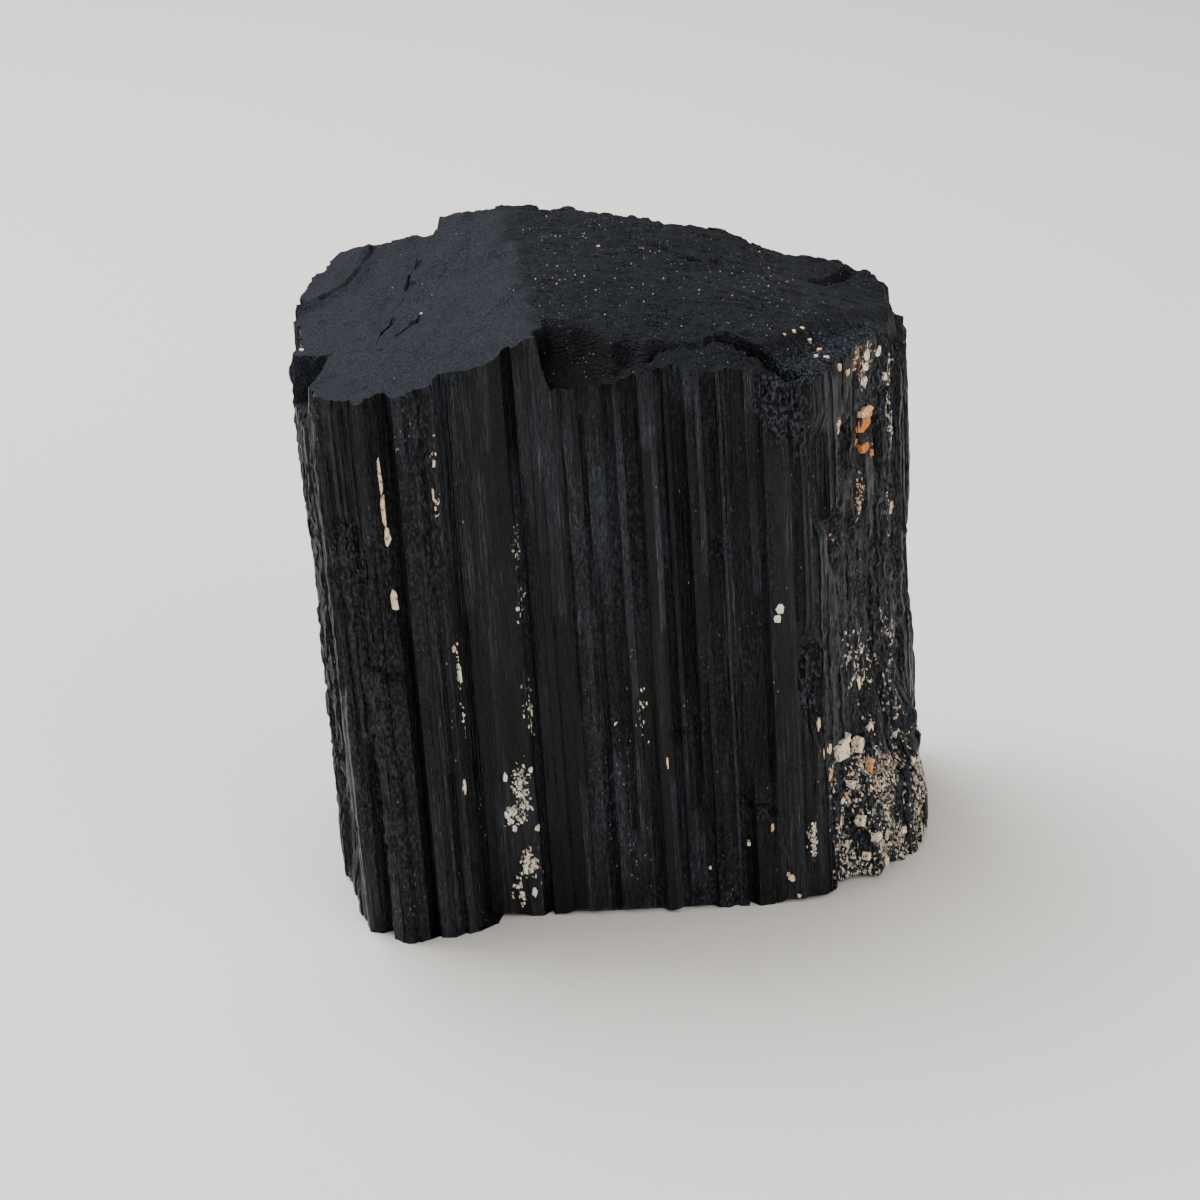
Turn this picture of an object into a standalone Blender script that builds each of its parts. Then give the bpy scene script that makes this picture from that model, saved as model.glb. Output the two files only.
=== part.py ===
"""A block of black tourmaline: leaning columns grown together, broken off above and cut flat below."""
import bpy
import numpy as np
from mathutils.geometry import delaunay_2d_cdt

# Driving dimensions, in millimetres. Places are given on the base, where x runs right and y runs away.
MM = 0.001
CENTRE = (2.46, 3.83)        # middle of the block's box on the base plane, which becomes the origin
LEAN = 0.063                # how far the columns lean to the left for each unit of height
NORMAL_SPAN = 1.6           # the outward direction is taken over this much outline on either side
STEP_HALF = 0.14            # half the width of the small cliff between one rib and the next
RUN_OUT = 4.0               # height in which a groove runs out at its end
END_SWAY = 3.0              # how far such ends stray up and down from one place to the next
END_WAVE = 1.7              # over how much outline and height the straying changes
END_WAVE_UP = 9.0
END_SLANT = 0.4             # how far it differs between the two edges of a rib
WHOLE = (-10.0, 90.0)       # height range of a rib that never ends

# Corners of the base, counter-clockwise from the left side
BASE_OUTLINE = (
    (-31.9, -6.0), (-30.2, -12.8), (-27.6, -20.6), (-24.3, -22.9), (-22.4, -23.9), (-18.9, -22.6),
    (-16.0, -22.0), (-13.2, -20.3), (-12.6, -17.9), (-8.4, -17.1), (0.0, -17.1), (12.0, -15.9),
    (19.3, -14.7), (25.4, -13.7), (28.2, -12.4), (31.5, -6.5), (36.0, 1.0), (40.0, 9.0), (42.2, 17.0),
    (42.0, 24.0), (39.8, 29.2), (34.0, 30.8), (27.0, 29.6), (19.0, 30.2), (15.0, 27.8), (7.0, 28.2),
    (1.0, 31.0), (-6.0, 31.4), (-12.5, 29.2), (-18.0, 29.4), (-22.9, 28.6), (-28.0, 28.8), (-30.6, 25.6),
    (-32.6, 20.4), (-32.4, 14.0), (-32.8, 7.0),
)

# Ribs of the side that faces the viewer: left edge x, depth under the outline, lowest and highest height
FRONT_RIBS = (
    (-27.6, 0.0, *WHOLE), (-26.1, 2.0, -10.0, 28.0), (-24.7, 0.5, 33.0, 90.0), (-22.7, 0.2, *WHOLE),
    (-21.1, 0.9, 36.0, 90.0), (-19.6, 1.4, *WHOLE), (-18.6, 0.0, *WHOLE), (-16.7, 0.4, *WHOLE),
    (-15.3, 0.1, *WHOLE), (-13.7, 0.6, *WHOLE), (-12.5, 0.0, *WHOLE), (-9.4, 0.05, *WHOLE),
    (-6.5, 1.1, *WHOLE), (-5.5, 0.3, *WHOLE), (-2.9, 0.4, *WHOLE), (-0.3, 0.0, *WHOLE),
    (1.6, 0.45, *WHOLE), (2.8, 0.05, *WHOLE), (4.2, 0.5, 8.0, 90.0), (5.4, 0.1, *WHOLE),
    (7.0, 0.45, *WHOLE), (8.2, -0.1, *WHOLE), (10.2, 0.8, *WHOLE), (11.1, 0.1, 23.0, 90.0),
    (11.9, 1.0, 12.0, 90.0), (13.4, 0.1, *WHOLE), (15.4, 0.5, 20.0, 90.0), (16.6, 0.1, *WHOLE),
    (18.3, 0.9, *WHOLE), (19.3, 0.8, 14.0, 90.0), (22.0, 0.0, *WHOLE), (22.7, 0.25, *WHOLE),
    (25.6, 0.0, *WHOLE), (27.8, 1.4, 44.0, 60.5), (30.1, 0.0, *WHOLE), (31.9, 0.9, 49.0, 60.0),
    (33.2, 0.2, *WHOLE), (34.4, 0.7, 51.0, 59.0), (36.3, 1.0, 48.0, 60.0), (37.6, 0.1, *WHOLE),
    (39.1, 0.6, *WHOLE), (40.3, 0.0, *WHOLE), (41.6, 0.5, *WHOLE),
)
FRONT_END_X = 42.2

# Ribs of the other sides, which follow no order
RIB_SEED = 71
RIB_WIDTHS = (1.3, 3.8)
RIB_DEPTH = 1.0
RIB_TILT = 0.14
RIB_START = (-60.0, 50.0)
RIB_LENGTH = (20.0, 110.0)

# Swellings and broken places of the sides: x, y, height, half width along the outline, half height, rise,
# and how abruptly it starts
SWELL_SWAY = 0.25           # how uneven their edges are
SWELL_SEED = 23
SWELL_WAVE = 2.3            # over how much outline and height the unevenness changes
SWELL_WAVE_UP = 4.1
SWELL_SWAY_FADE = 4.0       # how soon it fades away outside them
SWELLS = (
    (36.4, 1.8, -4.0, 13.0, 30.0, 3.2, 1.2),
    (35.2, -0.4, 4.0, 8.5, 13.0, 1.2, 1.4),
    (30.8, -7.8, 45.9, 2.2, 2.4, -1.1, 1.6),
    (24.8, -13.8, 67.0, 3.8, 5.5, -1.2, 1.4),
    (26.6, -13.1, 31.5, 2.0, 6.0, -0.6, 1.6),
    (27.8, -12.6, 25.0, 1.7, 4.5, -0.6, 1.6),
    (42.2, 17.0, 31.0, 7.0, 9.0, -2.2, 1.2),
    (42.2, 17.0, 2.0, 8.0, 8.0, -2.4, 1.8),
    (-31.6, -7.0, 40.0, 6.0, 5.0, -0.7, 1.8),
    (-29.6, -14.6, 10.0, 5.0, 9.0, -0.7, 1.8),
    (-10.0, 30.0, 42.0, 9.0, 24.0, -2.6, 1.8),
    (23.0, 29.8, 16.0, 8.0, 15.0, -2.2, 1.8),
    (38.0, 29.6, 60.0, 6.0, 12.0, -1.6, 1.8),
    (-29.0, 22.0, 14.0, 6.0, 12.0, -1.8, 1.8),
)

# Height of the broken top above places of the base, before its ledges are cut: x, y, height
TOP_HEIGHTS = (
    (-28.4, -18.5, 67.1), (-27.3, -21.3, 67.4), (-22.4, -24.0, 67.4), (-16.0, -22.0, 68.2),
    (-13.1, -20.1, 69.1), (-8.4, -17.1, 69.9), (-3.0, -16.9, 72.7), (-32.5, 3.0, 66.5),
    (-31.5, 11.0, 67.4), (-32.5, 20.6, 67.5), (-28.0, 28.6, 70.3), (-24.0, 20.0, 69.9),
    (-22.9, 28.3, 72.2), (-16.0, 28.4, 73.3), (-27.0, -6.6, 67.2),
    (-20.4, -5.3, 68.8), (-17.0, -1.0, 69.5), (-18.2, 14.8, 70.9), (-10.4, 13.5, 71.9),
    (-3.0, 0.0, 73.3), (-3.0, 15.0, 73.8), (-3.0, 30.0, 74.1), (-1.4, -17.0, 72.6),
    (4.8, -8.0, 71.6), (4.8, -16.6, 71.2), (12.0, -8.0, 70.6), (12.0, -15.9, 69.4),
    (19.3, -14.7, 68.5), (27.0, -13.2, 68.2), (18.8, -6.6, 69.9), (31.0, -7.5, 68.2),
    (36.0, 1.0, 68.1), (40.0, 9.0, 66.2), (15.3, 16.4, 71.6), (15.0, 27.8, 72.6), (30.1, 19.1, 67.8),
    (34.3, 30.0, 67.5), (39.6, 21.0, 65.2), (39.4, 29.0, 66.8), (25.5, 29.0, 68.9), (20.6, 29.0, 71.0),
    (6.0, 30.0, 74.0),
)
TOP_WAVE = 0.22             # swell of the broken surface
TOP_WAVE_LENGTH = 6.5
TOP_SEED = 12

# The front break: where it starts at each x, how deep it falls, and over what run
BREAK_X = (-3.0, 4.0, 8.8, 12.0, 15.6, 18.8, 22.0, 25.4, 29.0)
BREAK_Y = (-7.5, -9.0, -10.1, -9.4, -8.5, -6.6, -8.2, -9.6, -9.0)
BREAK_FALL = (6.6, 4.2, 1.6, 0.5, 0.4, 0.8, 1.0, 0.9, 0.3)
BREAK_RUN = (8.5, 6.5, 2.6, 1.0, 0.6, 0.6, 0.6, 0.6, 0.6)
BREAK_WALL_X = -2.7
BREAK_SWAY = 0.9            # how far the break strays from its line
BREAK_WAVE = 1.9            # over what distance across and along the break the straying changes
BREAK_WAVE_ALONG = 6.0
WALL_WAVE = 2.3
WALL_RUN = 0.9              # run of the wall at the break's left end
BREAK_END_RUN = 1.5         # run in which the break fades out at its right end

# Ledges of the top, lower on the left of the line's direction: line, fall at its two ends, run
LEDGE_SWAY = 0.6            # how far a ledge strays from its line
LEDGE_WAVE = 2.6
LEDGES = (
    (((-33.5, -6.6), (-20.9, -6.9), (-19.9, 1.4), (-18.2, 14.8), (-15.6, 26.3), (-15.3, 33.0)),
     0.1, 2.6, 0.5),
    (((-35.0, 9.0), (-29.0, 13.0), (-24.6, 20.0), (-23.5, 32.0)), -1.0, -0.7, 2.0),
    (((39.9, 31.0), (39.8, 22.0), (39.7, 16.0), (38.8, 9.5), (37.6, 5.0)), 3.4, 3.8, 0.6),
    (((41.7, 28.0), (41.1, 20.0), (41.0, 15.0), (39.6, 9.0)), 4.5, 5.0, 0.5),
    (((38.8, 12.5), (34.6, 8.0), (31.4, 2.0), (28.6, -3.0), (24.6, -7.4), (23.0, -11.0)),
     1.4, 1.8, 3.2),
)
NOTCH = ((-35.5, -3.4), (-28.2, -18.8), (-26.4, -5.4))
NOTCH_FALL = 5.4
NOTCH_RUN = 0.9
TROUGH = ((30.6, 19.6), (35.2, 27.0))
TROUGH_HALF = 1.1
TROUGH_FALL = 1.3

# Foot: the rim is chipped, and the middle is flat
FOOT_CHIP = 0.9
FOOT_CHIP_LENGTH = 5.0
FOOT_SEED = 5
FOOT_CHIP_SHIFT = 0.2       # raises the share of the rim that is chipped
FOOT_FLAT_SHARE = 0.93

# Fineness of the solid
ROWS = 18
RIB_COLUMN = 2.0
TOP_SPACING = 2.0
LIP_SPACING = 2.0
LIP_OFFSET = 0.35
RIM_CLEAR = 0.9
ROW_SHARE = 0.87            # distance of the top's rows, as a share of the spacing within them
LIP_SHARE = 0.55            # how near the grid comes to a ledge's lips, as a share of its spacing
MERGE = 1e-7                # places nearer than this are one

NOISE_CELLS = 64
ARC_SAMPLES = 4000          # places tried when the outline's nearest place is sought
TINY = 1e-9
STONE_COLOUR = (0.018, 0.020, 0.024, 1.0)
STONE_ROUGHNESS = 0.38


def clear_scene():
    for thing in list(bpy.data.objects):
        bpy.data.objects.remove(thing, do_unlink=True)


def ramp(share):
    """Zero below 0, one above 1 and smooth between."""
    share = np.clip(share, 0.0, 1.0)
    return share * share * (3.0 - 2.0 * share)


def value_noise(u, v, seed):
    """Smooth values from -1 to 1 that change over a distance of about 1."""
    table = np.random.default_rng(seed).uniform(-1.0, 1.0, (NOISE_CELLS, NOISE_CELLS))
    u, v = np.broadcast_arrays(np.asarray(u, float), np.asarray(v, float))
    column = np.floor(u).astype(int)
    row = np.floor(v).astype(int)
    across = ramp(u - column)
    along = ramp(v - row)

    def corner(right, up):
        return table[(column + right) % NOISE_CELLS, (row + up) % NOISE_CELLS]

    low = corner(0, 0) * (1.0 - across) + corner(1, 0) * across
    high = corner(0, 1) * (1.0 - across) + corner(1, 1) * across
    return low * (1.0 - along) + high * along


# The outline as a closed line with its arc length
LOOP = np.array(BASE_OUTLINE + BASE_OUTLINE[:1])
ARC = np.concatenate([[0.0], np.cumsum(np.hypot(*np.diff(LOOP, axis=0).T))])
GIRTH = ARC[-1]


def outline_point(arc):
    arc = np.mod(arc, GIRTH)
    return np.stack([np.interp(arc, ARC, LOOP[:, 0]), np.interp(arc, ARC, LOOP[:, 1])], axis=-1)


def outward(arc):
    run = outline_point(arc + NORMAL_SPAN) - outline_point(arc - NORMAL_SPAN)
    run /= np.linalg.norm(run, axis=-1, keepdims=True)
    return np.stack([run[..., 1], -run[..., 0]], axis=-1)


def arc_at_x(x):
    """Arc of a place on the side that faces the viewer, where x only grows."""
    count = int(np.argmax(LOOP[:, 0])) + 1
    return float(np.interp(x, LOOP[:count, 0], ARC[:count]))


def arc_near(x, y):
    """Arc of the outline's nearest place."""
    arcs = np.linspace(0.0, GIRTH, ARC_SAMPLES, endpoint=False)
    return float(arcs[np.argmin(np.hypot(*(outline_point(arcs) - (x, y)).T))])


def all_ribs():
    """Start, end, depth, lowest height, highest height and tilt of every rib round the outline."""
    chance = np.random.default_rng(RIB_SEED)
    starts = [arc_at_x(x) for x, *_ in FRONT_RIBS] + [arc_at_x(FRONT_END_X)]
    ribs = [(starts[i], starts[i + 1], depth, low, high, chance.uniform(-RIB_TILT, RIB_TILT))
            for i, (_, depth, low, high) in enumerate(FRONT_RIBS)]
    end = GIRTH + starts[0]
    start = starts[-1]
    while start < end:
        stop = start + chance.uniform(*RIB_WIDTHS)
        stop = end if end - stop < RIB_WIDTHS[0] else stop
        low = chance.uniform(*RIB_START)
        high = low + chance.uniform(*RIB_LENGTH)
        depth = chance.uniform(0.0, RIB_DEPTH)
        ribs.append((start, stop, depth, low, high, chance.uniform(-RIB_TILT, RIB_TILT)))
        start = stop
    return np.array(ribs)


RIBS = all_ribs()


def rib_relief(rib, across, height):
    """How far a rib's face stands out, negative inwards; across runs from -1 to 1 over its width."""
    start, _, depth, low, high, tilt = RIBS[rib].T
    swayed = height + END_SWAY * value_noise(start / END_WAVE + END_SLANT * across, height / END_WAVE_UP, RIB_SEED)
    within = ramp((swayed - low) / RUN_OUT) * ramp((high - swayed) / RUN_OUT)
    return -depth * within + tilt * across - abs(tilt)


def swell_relief(arc, height):
    """What the swellings and broken places of the sides add."""
    relief = np.zeros(np.broadcast(arc, height).shape)
    for x, y, middle, half_width, half_height, rise, edge in SWELLS:
        away = np.mod(arc - arc_near(x, y) + GIRTH / 2, GIRTH) - GIRTH / 2
        inside = 1.0 - (away / half_width) ** 2 - ((height - middle) / half_height) ** 2
        sway = SWELL_SWAY * value_noise(arc / SWELL_WAVE, height / SWELL_WAVE_UP, SWELL_SEED)
        sway = sway * ramp(inside * SWELL_SWAY_FADE + 1.0)
        relief = relief + rise * ramp(edge * (inside + sway))
    return relief


def thin_plate(places, heights):
    """A smooth sheet through the given heights, as a function of x and y."""
    def bend(x, y):
        away = np.hypot(x[..., None] - places[:, 0], y[..., None] - places[:, 1])
        return away ** 2 * np.log(away + TINY)

    count = len(places)
    flat = np.column_stack([np.ones(count), places])
    system = np.zeros((count + 3, count + 3))
    system[:count, :count] = bend(places[:, 0], places[:, 1])
    system[:count, count:] = flat
    system[count:, :count] = flat.T
    weights = np.linalg.solve(system, np.concatenate([heights, np.zeros(3)]))
    level, slope_x, slope_y = weights[count:]
    return lambda x, y: bend(x, y) @ weights[:count] + level + slope_x * x + slope_y * y


TOP_TABLE = np.array(TOP_HEIGHTS)
TOP_SHEET = thin_plate(TOP_TABLE[:, :2], TOP_TABLE[:, 2])


def beside_line(x, y, line):
    """Signed distance from an open line, positive on its left, and the share of the way between its ends."""
    line = np.array(line)
    best = np.full(x.shape, np.inf)
    signed = np.zeros(x.shape)
    for start, end in zip(line[:-1], line[1:]):
        run = end - start
        along = np.clip(((x - start[0]) * run[0] + (y - start[1]) * run[1]) / (run @ run), 0.0, 1.0)
        away = np.hypot(x - start[0] - along * run[0], y - start[1] - along * run[1])
        turn = run[0] * (y - start[1]) - run[1] * (x - start[0])
        nearer = away < best
        best = np.where(nearer, away, best)
        signed = np.where(nearer, np.sign(turn) * away, signed)
    chord = line[-1] - line[0]
    share = ((x - line[0, 0]) * chord[0] + (y - line[0, 1]) * chord[1]) / (chord @ chord)
    return signed, np.clip(share, 0.0, 1.0)


def front_break(x, y):
    """Depth of the broken shelf along the front edge of the top."""
    sway = BREAK_SWAY * value_noise(x / BREAK_WAVE, y / BREAK_WAVE_ALONG, TOP_SEED + 1)
    start = np.interp(x, BREAK_X, BREAK_Y) + sway
    fall = np.interp(x, BREAK_X, BREAK_FALL)
    run = np.interp(x, BREAK_X, BREAK_RUN)
    wall = BREAK_WALL_X + BREAK_SWAY * value_noise(y / WALL_WAVE, 0.0, TOP_SEED + 2)
    beyond_wall = ramp((x - wall) / WALL_RUN)
    before_end = ramp((BREAK_X[-1] - x) / BREAK_END_RUN)
    return fall * ramp((start - y) / run) * beyond_wall * before_end


def notch(x, y):
    """Depth of the three-sided notch in the left rim."""
    inside = np.full(x.shape, np.inf)
    for start, end in zip(NOTCH, NOTCH[1:] + NOTCH[:1]):
        run = np.subtract(end, start)
        inside = np.minimum(inside, (run[0] * (y - start[1]) - run[1] * (x - start[0])) / np.hypot(*run))
    return NOTCH_FALL * ramp(inside / NOTCH_RUN)


def top_height(x, y):
    """Height of the broken top above a place of the base."""
    height = TOP_SHEET(x, y) + TOP_WAVE * value_noise(x / TOP_WAVE_LENGTH, y / TOP_WAVE_LENGTH, TOP_SEED)
    height = height - front_break(x, y) - notch(x, y)
    sway = LEDGE_SWAY * value_noise(x / LEDGE_WAVE, y / LEDGE_WAVE, TOP_SEED + 3)
    for line, first_fall, last_fall, run in LEDGES:
        signed, share = beside_line(x, y, line)
        signed = signed + sway
        height = height - (first_fall + (last_fall - first_fall) * share) * ramp(signed / run + 0.5)
    beside, _ = beside_line(x, y, TROUGH)
    return height - TROUGH_FALL * ramp(1.0 - np.abs(beside) / TROUGH_HALF)


def columns():
    """Arc, rib and place across the rib of every upright line of the sides."""
    arcs, ribs, across = [], [], []
    for rib, (start, end, *_) in enumerate(RIBS):
        pieces = max(1, int(np.ceil((end - start) / RIB_COLUMN)))
        for share in np.linspace(-1.0, 1.0, pieces + 1):
            arcs.append((start + end) / 2 + share * ((end - start) / 2 - STEP_HALF))
            ribs.append(rib)
            across.append(share)
    return np.array(arcs), np.array(ribs), np.array(across)


def side_places(arcs, ribs, across, height):
    """Places on the base that lie under the side's surface at the given height."""
    relief = rib_relief(ribs, across, height) + swell_relief(arcs, height)
    return outline_point(arcs) + outward(arcs) * relief[..., None]


def stand(places, height):
    """Points in space above places of the base, on the leaning columns."""
    return np.column_stack([places[:, 0] - LEAN * height, places[:, 1], height])


def side_rows():
    """The rings of points round the block, from the foot to the top's edge, and the top ring's base places."""
    arcs, ribs, across = columns()
    chips = value_noise(arcs / FOOT_CHIP_LENGTH, 0.0, FOOT_SEED)
    foot = FOOT_CHIP * np.clip(chips + FOOT_CHIP_SHIFT, 0.0, 1.0)
    rim = outline_point(arcs)
    top = top_height(rim[:, 0], rim[:, 1])
    rim = side_places(arcs, ribs, across, top)
    top = top_height(rim[:, 0], rim[:, 1])
    rows = []
    for share in np.linspace(0.0, 1.0, ROWS + 1)[:-1]:
        height = foot + share * (top - foot)
        rows.append(stand(side_places(arcs, ribs, across, height), height))
    rows.append(stand(rim, top))
    return rows, rim


def inside_ring(places, ring, clear):
    """Which places lie inside the ring and at least the given distance from it."""
    following = np.roll(ring, -1, axis=0)
    crossings = np.zeros(len(places), int)
    nearest = np.full(len(places), np.inf)
    for start, end in zip(ring, following):
        run = end - start
        offset = places - start
        spans = (start[1] > places[:, 1]) != (end[1] > places[:, 1])
        slope = run[0] * offset[:, 1] - run[1] * offset[:, 0]
        crossings += spans & ((slope > 0) == (run[1] > 0))
        along = np.clip(offset @ run / (run @ run), 0.0, 1.0)
        nearest = np.minimum(nearest, np.hypot(*(offset - along[:, None] * run).T))
    return (crossings % 2 == 1) & (nearest > clear)


def lips():
    """Places along both lips of each ledge and of the front break."""
    lines = [np.array(line) for line, *_ in LEDGES]
    lines.append(np.column_stack([BREAK_X, BREAK_Y]))
    places = []
    for line in lines:
        arc = np.concatenate([[0.0], np.cumsum(np.hypot(*np.diff(line, axis=0).T))])
        at = np.arange(0.0, arc[-1], LIP_SPACING)
        middle = np.column_stack([np.interp(at, arc, line[:, 0]), np.interp(at, arc, line[:, 1])])
        run = np.gradient(middle, axis=0)
        run /= np.linalg.norm(run, axis=1, keepdims=True)
        side = np.column_stack([-run[:, 1], run[:, 0]]) * LIP_OFFSET
        places += [middle + side, middle - side]
    return np.vstack(places)


def apart(places, kept, clear):
    """The places that keep the given distance from all kept ones."""
    away = np.hypot(*(places[:, None, :] - kept[None, :, :]).transpose(2, 0, 1))
    return places[away.min(axis=1) > clear]


def thinned(places, clear):
    """Places in their order, without those that fall near an earlier one."""
    kept = places[:1]
    for place in places[1:]:
        if np.hypot(*(kept - place).T).min() > clear:
            kept = np.vstack([kept, place])
    return kept


def top_places(ring):
    """Places inside the top: a staggered grid, with the ledges' lips among it."""
    low, high = ring.min(axis=0), ring.max(axis=0)
    rows = np.arange(low[1], high[1], TOP_SPACING * ROW_SHARE)
    grid = [(x + (i % 2) * TOP_SPACING / 2, y) for i, y in enumerate(rows)
            for x in np.arange(low[0], high[0], TOP_SPACING)]
    lip = lips()
    lip = thinned(lip[inside_ring(lip, ring, RIM_CLEAR)], LIP_OFFSET)
    grid = np.array(grid)
    grid = grid[inside_ring(grid, ring, RIM_CLEAR)]
    return np.vstack([lip, apart(grid, lip, TOP_SPACING * LIP_SHARE)])


def fill_ring(ring, inner):
    """Triangles that fill a ring and use the inner places, as indices into the ring followed by the places."""
    places = np.vstack([ring, inner]) if len(inner) else ring
    edges = [(i, (i + 1) % len(ring)) for i in range(len(ring))]
    result = delaunay_2d_cdt([tuple(place) for place in places], edges, [], 1, MERGE)
    origins = [found[0] for found in result[3]]
    triangles = []
    for face in result[2]:
        a, b, c = (origins[corner] for corner in face)
        turn = np.cross(places[b] - places[a], places[c] - places[a])
        triangles.append((a, b, c) if turn > 0 else (a, c, b))
    return triangles


def build_block():
    """The whole block as one closed mesh."""
    rows, rim = side_rows()
    count = len(rim)
    points = list(np.vstack(rows))
    faces = []
    for row in range(ROWS):
        for i in range(count):
            following = (i + 1) % count
            lower, upper = row * count, (row + 1) * count
            faces.append((lower + i, lower + following, upper + following, upper + i))

    inner = top_places(rim)
    top_ring = ROWS * count
    numbers = [top_ring + i for i in range(count)] + [len(points) + i for i in range(len(inner))]
    points += list(stand(inner, top_height(inner[:, 0], inner[:, 1])))
    faces += [tuple(numbers[corner] for corner in face) for face in fill_ring(rim, inner)]

    arcs = columns()[0]
    flat = np.array(CENTRE) + (outline_point(arcs) - CENTRE) * FOOT_FLAT_SHARE
    first = len(points)
    points += list(stand(flat, np.zeros(count)))
    for i in range(count):
        following = (i + 1) % count
        faces.append((first + i, first + following, following, i))
    faces += [tuple(first + corner for corner in reversed(face)) for face in fill_ring(flat, [])]
    return np.array(points), faces


def stone_material():
    material = bpy.data.materials.new("black_tourmaline")
    material.use_nodes = True
    shader = material.node_tree.nodes["Principled BSDF"]
    shader.inputs["Base Color"].default_value = STONE_COLOUR
    shader.inputs["Roughness"].default_value = STONE_ROUGHNESS
    shader.inputs["Metallic"].default_value = 0.0
    return material


def make_crystal():
    points, faces = build_block()
    points = (points - (CENTRE[0], CENTRE[1], 0.0)) * MM
    mesh = bpy.data.meshes.new("tourmaline_crystal")
    mesh.from_pydata([tuple(point) for point in points], [], faces)
    mesh.validate()
    mesh.materials.append(stone_material())
    crystal = bpy.data.objects.new("tourmaline_crystal", mesh)
    bpy.context.scene.collection.objects.link(crystal)
    return crystal


clear_scene()
make_crystal()
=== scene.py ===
"""The finish of a block of black tourmaline: fine ribs, broken faces, pits, grains and their materials."""
import functools

import bpy
import numpy as np
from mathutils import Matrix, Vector
from mathutils.geometry import delaunay_2d_cdt
from mathutils.kdtree import KDTree


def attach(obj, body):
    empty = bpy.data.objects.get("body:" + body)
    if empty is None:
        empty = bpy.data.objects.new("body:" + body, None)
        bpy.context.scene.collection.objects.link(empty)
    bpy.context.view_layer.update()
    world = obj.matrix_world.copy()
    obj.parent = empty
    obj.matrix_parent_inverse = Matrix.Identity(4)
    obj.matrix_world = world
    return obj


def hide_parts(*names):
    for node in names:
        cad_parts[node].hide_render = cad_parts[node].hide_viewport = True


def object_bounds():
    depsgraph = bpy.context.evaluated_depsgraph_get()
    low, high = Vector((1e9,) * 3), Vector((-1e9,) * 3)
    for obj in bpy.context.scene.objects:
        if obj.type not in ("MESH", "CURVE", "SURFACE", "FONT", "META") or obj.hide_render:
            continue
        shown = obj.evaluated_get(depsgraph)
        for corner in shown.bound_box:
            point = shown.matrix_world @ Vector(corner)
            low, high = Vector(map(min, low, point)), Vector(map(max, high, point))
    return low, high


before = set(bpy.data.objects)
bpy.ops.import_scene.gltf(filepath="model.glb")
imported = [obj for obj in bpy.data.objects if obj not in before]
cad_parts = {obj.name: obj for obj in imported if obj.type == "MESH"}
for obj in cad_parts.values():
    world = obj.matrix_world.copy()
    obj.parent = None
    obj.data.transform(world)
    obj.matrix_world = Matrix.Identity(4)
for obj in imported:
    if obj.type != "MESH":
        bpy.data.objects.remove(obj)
CAD_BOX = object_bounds()
NODE = "tourmaline_crystal"
BODY = "root"

# Driving dimensions, in millimetres. Places are given on the base, where x runs right and y runs away.
# A noise pattern gives its length along both directions, its seed and its octaves.
MM = 0.001
CENTRE = (2.46, 3.83)        # middle of the block's box on the base plane, which becomes the origin
LEAN = 0.063                # how far the columns lean to the left for each unit of height
NORMAL_SPAN = 1.6           # the outward direction is taken over this much outline on either side
STEP_HALF = 0.14            # half the width of the small cliff between one rib and the next
RUN_OUT = 4.0               # height in which a groove runs out at its end
END_SWAY = 3.0              # how far such ends stray up and down from one place to the next
END_WAVE = 1.7              # over how much outline and height the straying changes
END_WAVE_UP = 9.0
END_SLANT = 0.4             # how far it differs between the two edges of a rib
WHOLE = (-10.0, 90.0)       # height range of a rib that never ends

# Corners of the base, counter-clockwise from the left side
BASE_OUTLINE = (
    (-31.9, -6.0), (-30.2, -12.8), (-27.6, -20.6), (-24.3, -22.9), (-22.4, -23.9), (-18.9, -22.6),
    (-16.0, -22.0), (-13.2, -20.3), (-12.6, -17.9), (-8.4, -17.1), (0.0, -17.1), (12.0, -15.9),
    (19.3, -14.7), (25.4, -13.7), (28.2, -12.4), (31.5, -6.5), (36.0, 1.0), (40.0, 9.0), (42.2, 17.0),
    (42.0, 24.0), (39.8, 29.2), (34.0, 30.8), (27.0, 29.6), (19.0, 30.2), (15.0, 27.8), (7.0, 28.2),
    (1.0, 31.0), (-6.0, 31.4), (-12.5, 29.2), (-18.0, 29.4), (-22.9, 28.6), (-28.0, 28.8), (-30.6, 25.6),
    (-32.6, 20.4), (-32.4, 14.0), (-32.8, 7.0),
)

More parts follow.
